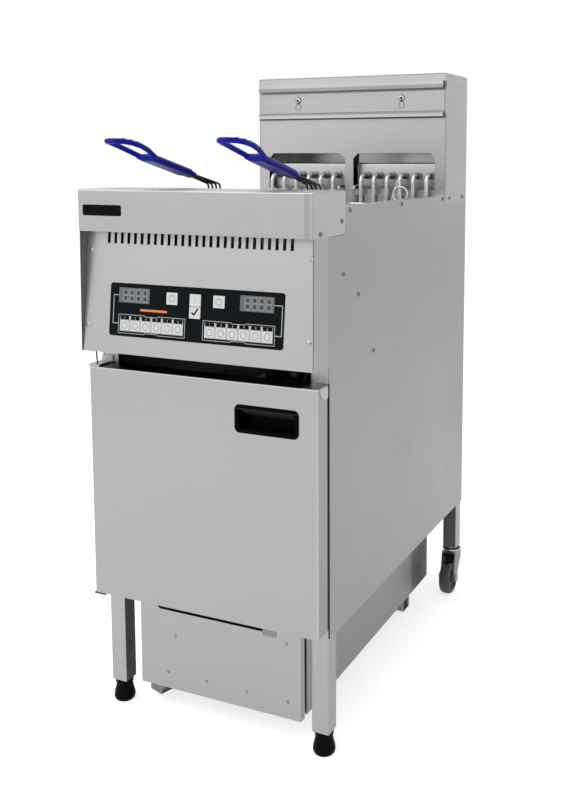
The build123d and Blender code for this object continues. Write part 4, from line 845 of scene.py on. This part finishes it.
# Basket nets: thin plated wire welded into a grid, each cross wire bent up both walls, each long
# wire bent up both ends, and level wires round the walls.
net_wire, net_pitch, net_bend, net_sides, net_steps = 0.0009, 0.009, 0.004, 6, 2
net_half_width, net_half_length, net_foot, net_top = 0.0809, 0.1629, 0.7508, 0.899
inner_half, inner_end = net_half_width - 2 * net_wire, net_half_length - 2 * net_wire
cross_count, long_count = int(2 * inner_end / net_pitch), int(2 * inner_half / net_pitch)
level_count = int((net_top - net_foot) / net_pitch)
level_start = 0.7 * net_pitch
first_y, first_z = basket_y - (cross_count - 1) * net_pitch / 2, net_foot + level_start
front_y, rear_y, long_foot = basket_y - net_half_length, basket_y + net_half_length, net_foot + 2 * net_wire


def in_rows(piece, step, count):
    """Repeat a piece at a fixed step."""
    modified(
        piece, "ARRAY", use_relative_offset=False, use_constant_offset=True,
        constant_offset_displace=step, count=count,
    )
    return piece


for side, body in baskets:
    x = side * basket_x
    first_x = x - (long_count - 1) * net_pitch / 2
    cross_run = cradle(x, net_half_width, first_y, net_top, net_foot)
    cross = bent_wire(cross_run, net_wire, net_bend, net_sides, net_steps)
    long_run = [
        (first_x, front_y, net_top), (first_x, front_y, long_foot),
        (first_x, rear_y, long_foot), (first_x, rear_y, net_top),
    ]
    long = bent_wire(long_run, net_wire, net_bend, net_sides, net_steps)
    level_run = hoop(x, inner_half, inner_end, first_z)
    level = bent_wire(level_run, net_wire, net_bend, net_sides, net_steps, closed=True)
    joined([
        in_rows(cross, (0, net_pitch, 0), cross_count),
        in_rows(long, (net_pitch, 0, 0), long_count),
        in_rows(level, (0, 0, net_pitch), level_count),
    ])
    finished(body + "_net", bright_wire, body, "wire", body + "_mesh")

# Basket grips: blue plastic dipped over the wires, a tapered collar at the neck, a rounded body and
# an open loop at the end for the hand, with knobs at its roots and raised rests for the fingers.
grip_blue = surface(
    "dipped_blue_plastic", (0.005, 0.008, 0.27), roughness=0.2, grain=even(60), contrast=0.05,
    relief=0.000004, specular=0.12,
)
collar_size, collar_y, collar_taper, collar_rounding = (0.032, 0.034, 0.010), 0.047, 0.55, 0.003
body_size, body_y, body_rounding = (0.034, 0.126, 0.0125), 0.115, 0.006
loop_bar, loop_bend = 0.0047, 0.0070
loop_points = [
    (0.0125, 0.163, 0.0000), (0.0165, 0.183, 0.0028), (0.0210, 0.203, 0.0056), (0.0225, 0.224, 0.0070),
    (0.0205, 0.246, 0.0066), (0.0155, 0.262, 0.0050), (0.0075, 0.2730, 0.0030),
]
mirrored_points = [(-across, y, lift) for across, y, lift in reversed(loop_points)]
knob_size, knob_places = even(0.0054), [(-0.0150, 0.176, 0.001), (0.0150, 0.176, 0.001)]
rest_size = (0.0022, 0.0040, 0.0016)
rest_places = [(-0.0218, 0.234, 0.0110), (-0.0196, 0.248, 0.0106), (-0.0150, 0.2615, 0.0092)]
for side, body in baskets:
    collar = block(collar_size, (0, collar_y, 0))
    bpy.ops.object.mode_set(mode="EDIT")
    select_corners(collar, lambda spot: spot.y < collar_y)
    bpy.ops.transform.resize(value=(collar_taper, 1, 1), center_override=(0, collar_y, 0))
    bpy.ops.object.mode_set(mode="OBJECT")
    lumps = [softened(collar_rounding, segments=4)]
    block(body_size, (0, body_y, 0))
    lumps.append(softened(body_rounding, segments=4))
    lumps.append(bent_wire(loop_points + mirrored_points, loop_bar, loop_bend, sides=16))
    for size, spots in ((knob_size, knob_places), (rest_size, rest_places)):
        for spot in spots:
            bpy.ops.mesh.primitive_uv_sphere_add(
                segments=16, ring_count=10, radius=1, location=spot, scale=size
            )
            lumps.append(bpy.context.object)
    grip = joined(lumps)
    modified(grip, "REMESH", mode="VOXEL", voxel_size=0.001)
    modified(grip, "SMOOTH", factor=0.5, iterations=14)
    grip.matrix_world = Matrix((
        (-1, 0, 0, side * basket_x),
        (0, -slope_cos, slope_sin, neck_y),
        (0, slope_sin, slope_cos, neck_z),
        (0, 0, 0, 1),
    ))
    finished(body + "_handle", grip_blue, body, "grip", body + "_grip")

# Filter drawer: welded pan of stainless sheet behind a front plate with a hand slot, on bent skids.
# Spot welds mark the plate, and a small tab is lapped over the slot's right end.
dress(level_steel, "pan_front", "filter_screen", "pickup_tube", "pan_runners")
# The pan takes a darker grey as painted shade under the cabinet, with more painted shade at its rear.
pan_rear_painted_shade = ((0.6, (along_y, 0.241, 0.345)),)
dress(brushed_sheet("pan_steel_painted_shade", pan_rear_painted_shade, even(0.31)), "filter_pan")
skid_steel = surface(
    "skid_brushed_steel", even(0.30), roughness=0.4, grain=(3, 3, 600), contrast=0.5, relief=0.00004,
    metallic=1.0,
)
weld_and_shade_steel = surface(
    "weld_mark_and_painted_shade", even(0.27), roughness=0.45, grain=even(400), contrast=0.25, relief=0.00002, metallic=1.0
)
skid_size, skid_sheet, skid_edge, skid_middle_z = (0.032, 0.034, 0.036), 0.0025, 0.0008, 0.028
skid_places = ((-0.1484, -0.2569, -18), (0.146, -0.174, 0), (-0.138, 0.235, 0), (0.138, 0.235, 0))
skid = block(skid_size)
bpy.ops.object.mode_set(mode="EDIT")
bpy.ops.mesh.select_mode(type="FACE")
bpy.ops.mesh.select_all(action="DESELECT")
bpy.ops.object.mode_set(mode="OBJECT")
for face in skid.data.polygons:
    face.select = abs(face.normal.x) > 0.9 or face.normal.z > 0.9
bpy.ops.object.mode_set(mode="EDIT")
bpy.ops.mesh.delete(type="FACE")
bpy.ops.mesh.select_mode(type="VERT")
bpy.ops.object.mode_set(mode="OBJECT")
modified(skid, "SOLIDIFY", thickness=skid_sheet)
modified(skid, "BEVEL", width=skid_edge, segments=2)
copies(skid, [
    at((x, y, skid_middle_z), Matrix.Rotation(math.radians(turn), 4, "Z")) for x, y, turn in skid_places
])
finished("drawer_skids", skid_steel, "filter_drawer", "stainless", "pan_skids")
drawer_face_y = -0.302
weld_rings = ((0.0034, 0), (0.0030, 0.0003), (0.0014, 0.0005))
weld_count, first_weld_x, weld_pitch, weld_row_z = 4, -0.105, 0.081, 0.0745
weld_spots = [(first_weld_x + index * weld_pitch, weld_row_z) for index in range(weld_count)]
weld_spots += [(-0.088, 0.146), (0.136, 0.178)]
copies(turned(weld_rings, sides=20), [at((x, drawer_face_y, z), to_front) for x, z in weld_spots])
finished("drawer_weld_marks", weld_and_shade_steel, "filter_drawer", "stainless")
tab_size, tab_corner, tab_sheet, tab_rim, tab_x, tab_z = (0.026, 0.020), 0.002, 0.0008, 0.0003, 0.103, 0.195
tab = plate(tab_size, tab_corner, tab_sheet, rim=tab_rim)
tab.matrix_world = at((tab_x, drawer_face_y, tab_z), to_front)
# The tab takes the darker weld steel as painted shade.
finished("drawer_tab", weld_and_shade_steel, "filter_drawer", "stainless")

# Drain and filter gear: stainless pipes, a cast brass valve with a black lever, a cast pump and its
# alloy motor on a shelf, and the contactor box, all inside the cabinet.
dress(level_steel, "drain_pipes", "suction_pipe", "return_pipe", "pump_shelf", "contactor_box")
brass = surface(
    "cast_brass", (0.50, 0.34, 0.10), roughness=0.38, grain=even(250), contrast=0.2, relief=0.00005,
    metallic=1.0,
)
dress(brass, "drain_valve")
dress(black_plastic, "drain_lever")
alloy = surface(
    "cast_alloy", (0.45, 0.46, 0.47), roughness=0.5, grain=even(300), contrast=0.2, relief=0.00008,
    metallic=1.0,
)
dress(alloy, "pump_motor")
grey_cast = surface(
    "grey_painted_casting", (0.10, 0.105, 0.11), roughness=0.55, grain=even(300), contrast=0.25,
    relief=0.0001,
)
dress(grey_cast, "filter_pump")

# Front feet: bell-shaped black mouldings with a soft flare, each on a thread that is screwed up
# into a zinc-plated plug in its post. The casters' heads sit in the rear posts in the same way.
post_x, front_post_y = 0.205, -0.299
foot_rings = (
    (0.0135, 0.0), (0.0160, 0.0008), (0.0180, 0.0030), (0.0192, 0.0065), (0.0194, 0.0095),
    (0.0186, 0.0150), (0.0168, 0.0215), (0.0155, 0.0275), (0.0150, 0.0325), (0.0152, 0.0345),
    (0.0163, 0.0355), (0.0164, 0.0405), (0.0158, 0.0416), (0.0060, 0.0417), (0.0060, 0.0855),
)
for side, body in ((-1, "left_foot"), (1, "right_foot")):
    turned(foot_rings, place=(side * post_x, front_post_y, 0))
    finished(body + "_bell", black_plastic, body, "black_moulding", body)
dress(zinc, "foot_plugs", "caster_heads")

# Casters: zinc-plated fork pressed from plate, turning on a bright bearing ring under a black seal,
# with nuts on its axle, a black thread guard over the tyre, and a solid grey tyre on a dished wheel.
dull_zinc = surface(
    "dull_zinc_plate", (0.30, 0.30, 0.31), roughness=0.4, grain=even(200), contrast=0.25, relief=0.00005,
    metallic=1.0,
)
tyre_rubber = surface(
    "grey_tyre", even(0.075), roughness=0.6, grain=(420, 30, 30), contrast=1.6, relief=0.00008,
    specular=0.3,
)
rear_post_y, axle_y, axle_z, crown_foot_z = 0.3945, 0.3745, 0.0375, 0.0917
axle_nut_radius, axle_nut_height, axle_nut_rounding, axle_nut_x = 0.0085, 0.005, 0.0008, 0.0188
bearing_rings = (
    (0.0176, 0.0968), (0.0200, 0.0972), (0.0206, 0.0986), (0.0206, 0.1000),
    (0.0198, 0.1012), (0.0176, 0.1014), (0.0176, 0.0968),
)
seal_rings = ((0.0178, 0.1010), (0.0194, 0.1012), (0.0194, 0.1034), (0.0178, 0.1036), (0.0178, 0.1010))
half_wheel = [
    (0.0052, 0.0125), (0.0105, 0.0125), (0.0115, 0.0115), (0.0118, 0.0072),
    (0.0250, 0.0066), (0.0262, 0.0078), (0.0268, 0.0115), (0.0280, 0.0124),
    (0.0320, 0.0122), (0.0352, 0.0104), (0.0370, 0.0066), (0.0375, 0.0022),
]
wheel_rings = [(radius, -height) for radius, height in half_wheel] + half_wheel[::-1] + [(0.0052, -0.0125)]
guard_line = ((-0.008, crown_foot_z), (-0.008, 0.081), (0.030, 0.072), (0.038, crown_foot_z))
guard_half, guard_bend = 0.0125, 0.004
dress(dull_zinc, "left_caster_fork", "right_caster_fork")
for side, name in ((-1, "left_caster"), (1, "right_caster")):
    x = side * post_x
    wheel = turned(wheel_rings, sides=48, closed=True)
    wheel.matrix_world = at((x, axle_y, axle_z), to_right)
    finished(name + "_tyre", tyre_rubber, name + "_wheel", "tyre", name + "_wheel")
    nut_places = [at((x + end * axle_nut_x, axle_y, axle_z), to_right) for end in (-1, 1)]
    copies(hexagon_nut(axle_nut_radius, axle_nut_height, axle_nut_rounding), nut_places)
    finished(name + "_axle_nuts", zinc, name, "zinc")
    turned(bearing_rings, place=(x, rear_post_y, 0), closed=True)
    finished(name + "_bearing", bright_wire, name, "zinc")
    turned(seal_rings, place=(x, rear_post_y, 0), closed=True)
    finished(name + "_seal", black_plastic, name, "black_moulding")
    guard_run = [(x, axle_y + ahead, z) for ahead, z in guard_line]
    bent_wire(guard_run, guard_half, guard_bend, sides=4, steps=3)
    finished(name + "_guard", black_plastic, name, "black_moulding")

# Studio: a pale floor that fades into a white room, soft lamps, and a camera where the
# photograph was taken from, a little above the deck and to the right of the front.
bpy.ops.mesh.primitive_plane_add(size=40, location=(0, 0, 0))
floor = bpy.context.object
floor.name = "studio_floor"
floor_paint = bpy.data.materials.new("studio_floor")
floor_paint.use_nodes = True
floor_tree = floor_paint.node_tree
floor_tree.nodes.clear()
matt = node(floor_tree, "ShaderNodeBsdfDiffuse", {"Color": (0.8, 0.8, 0.8, 1)})
seen_lift, mirrored_lift = 0.65, 0.36
floor_seen = node(floor_tree, "ShaderNodeLightPath").outputs["Is Camera Ray"]
lift_range = {"Value": floor_seen, "To Min": mirrored_lift, "To Max": seen_lift}
lift = node(floor_tree, "ShaderNodeMapRange", lift_range)
glow = node(floor_tree, "ShaderNodeEmission", {"Strength": lift.outputs[0]})
paint = node(floor_tree, "ShaderNodeAddShader", {0: matt.outputs[0], 1: glow.outputs[0]})
node(floor_tree, "ShaderNodeOutputMaterial", {"Surface": paint.outputs[0]})
floor.data.materials.append(floor_paint)
floor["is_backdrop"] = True

room = bpy.data.worlds.new("white_room")
room.use_nodes = True
room_tree = room.node_tree
room_light, room_white = 0.55, 1.0
path = node(room_tree, "ShaderNodeLightPath").outputs
mirrored = reckoned(room_tree, "MAXIMUM", path["Is Camera Ray"], path["Is Glossy Ray"])
room_seen = reckoned(room_tree, "MAXIMUM", mirrored, path["Is Transmission Ray"])
room_range = {"Value": room_seen, "To Min": room_light, "To Max": room_white}
room_level = node(room_tree, "ShaderNodeMapRange", room_range)
backdrop = room_tree.nodes["Background"]
backdrop.inputs["Color"].default_value = (1, 1, 1, 1)
room_tree.links.new(room_level.outputs[0], backdrop.inputs["Strength"])
bpy.context.scene.world = room

aim = Vector((0, 0, 0.6))
for name, spot, size, power in (
    ("top_lamp", (-1.2, -1.8, 3.6), 5.0, 110),
    ("front_card", (-2.4, -3.8, 1.5), 2.6, 6),
):
    bpy.ops.object.light_add(type="AREA", location=spot)
    lamp = bpy.context.object
    lamp.name = name
    lamp.data.size = size
    lamp.data.energy = power
    lamp.rotation_euler = (aim - lamp.location).to_track_quat("-Z", "Y").to_euler()

camera_place, view_turn, view_rise = (0.8695, -1.7054, 1.0001), math.radians(24.30), math.radians(6.26)
view = Vector((
    -math.sin(view_turn) * math.cos(view_rise),
    math.cos(view_turn) * math.cos(view_rise),
    -math.sin(view_rise),
))
bpy.ops.object.camera_add(location=camera_place, rotation=view.to_track_quat("-Z", "Y").to_euler())
camera = bpy.context.object
camera.data.sensor_width = 36
camera.data.lens = 43.99
camera.data.shift_x = -0.0745
camera.data.shift_y = -0.169
bpy.context.scene.camera = camera
bpy.context.scene.view_settings.view_transform = "Standard"

low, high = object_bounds()
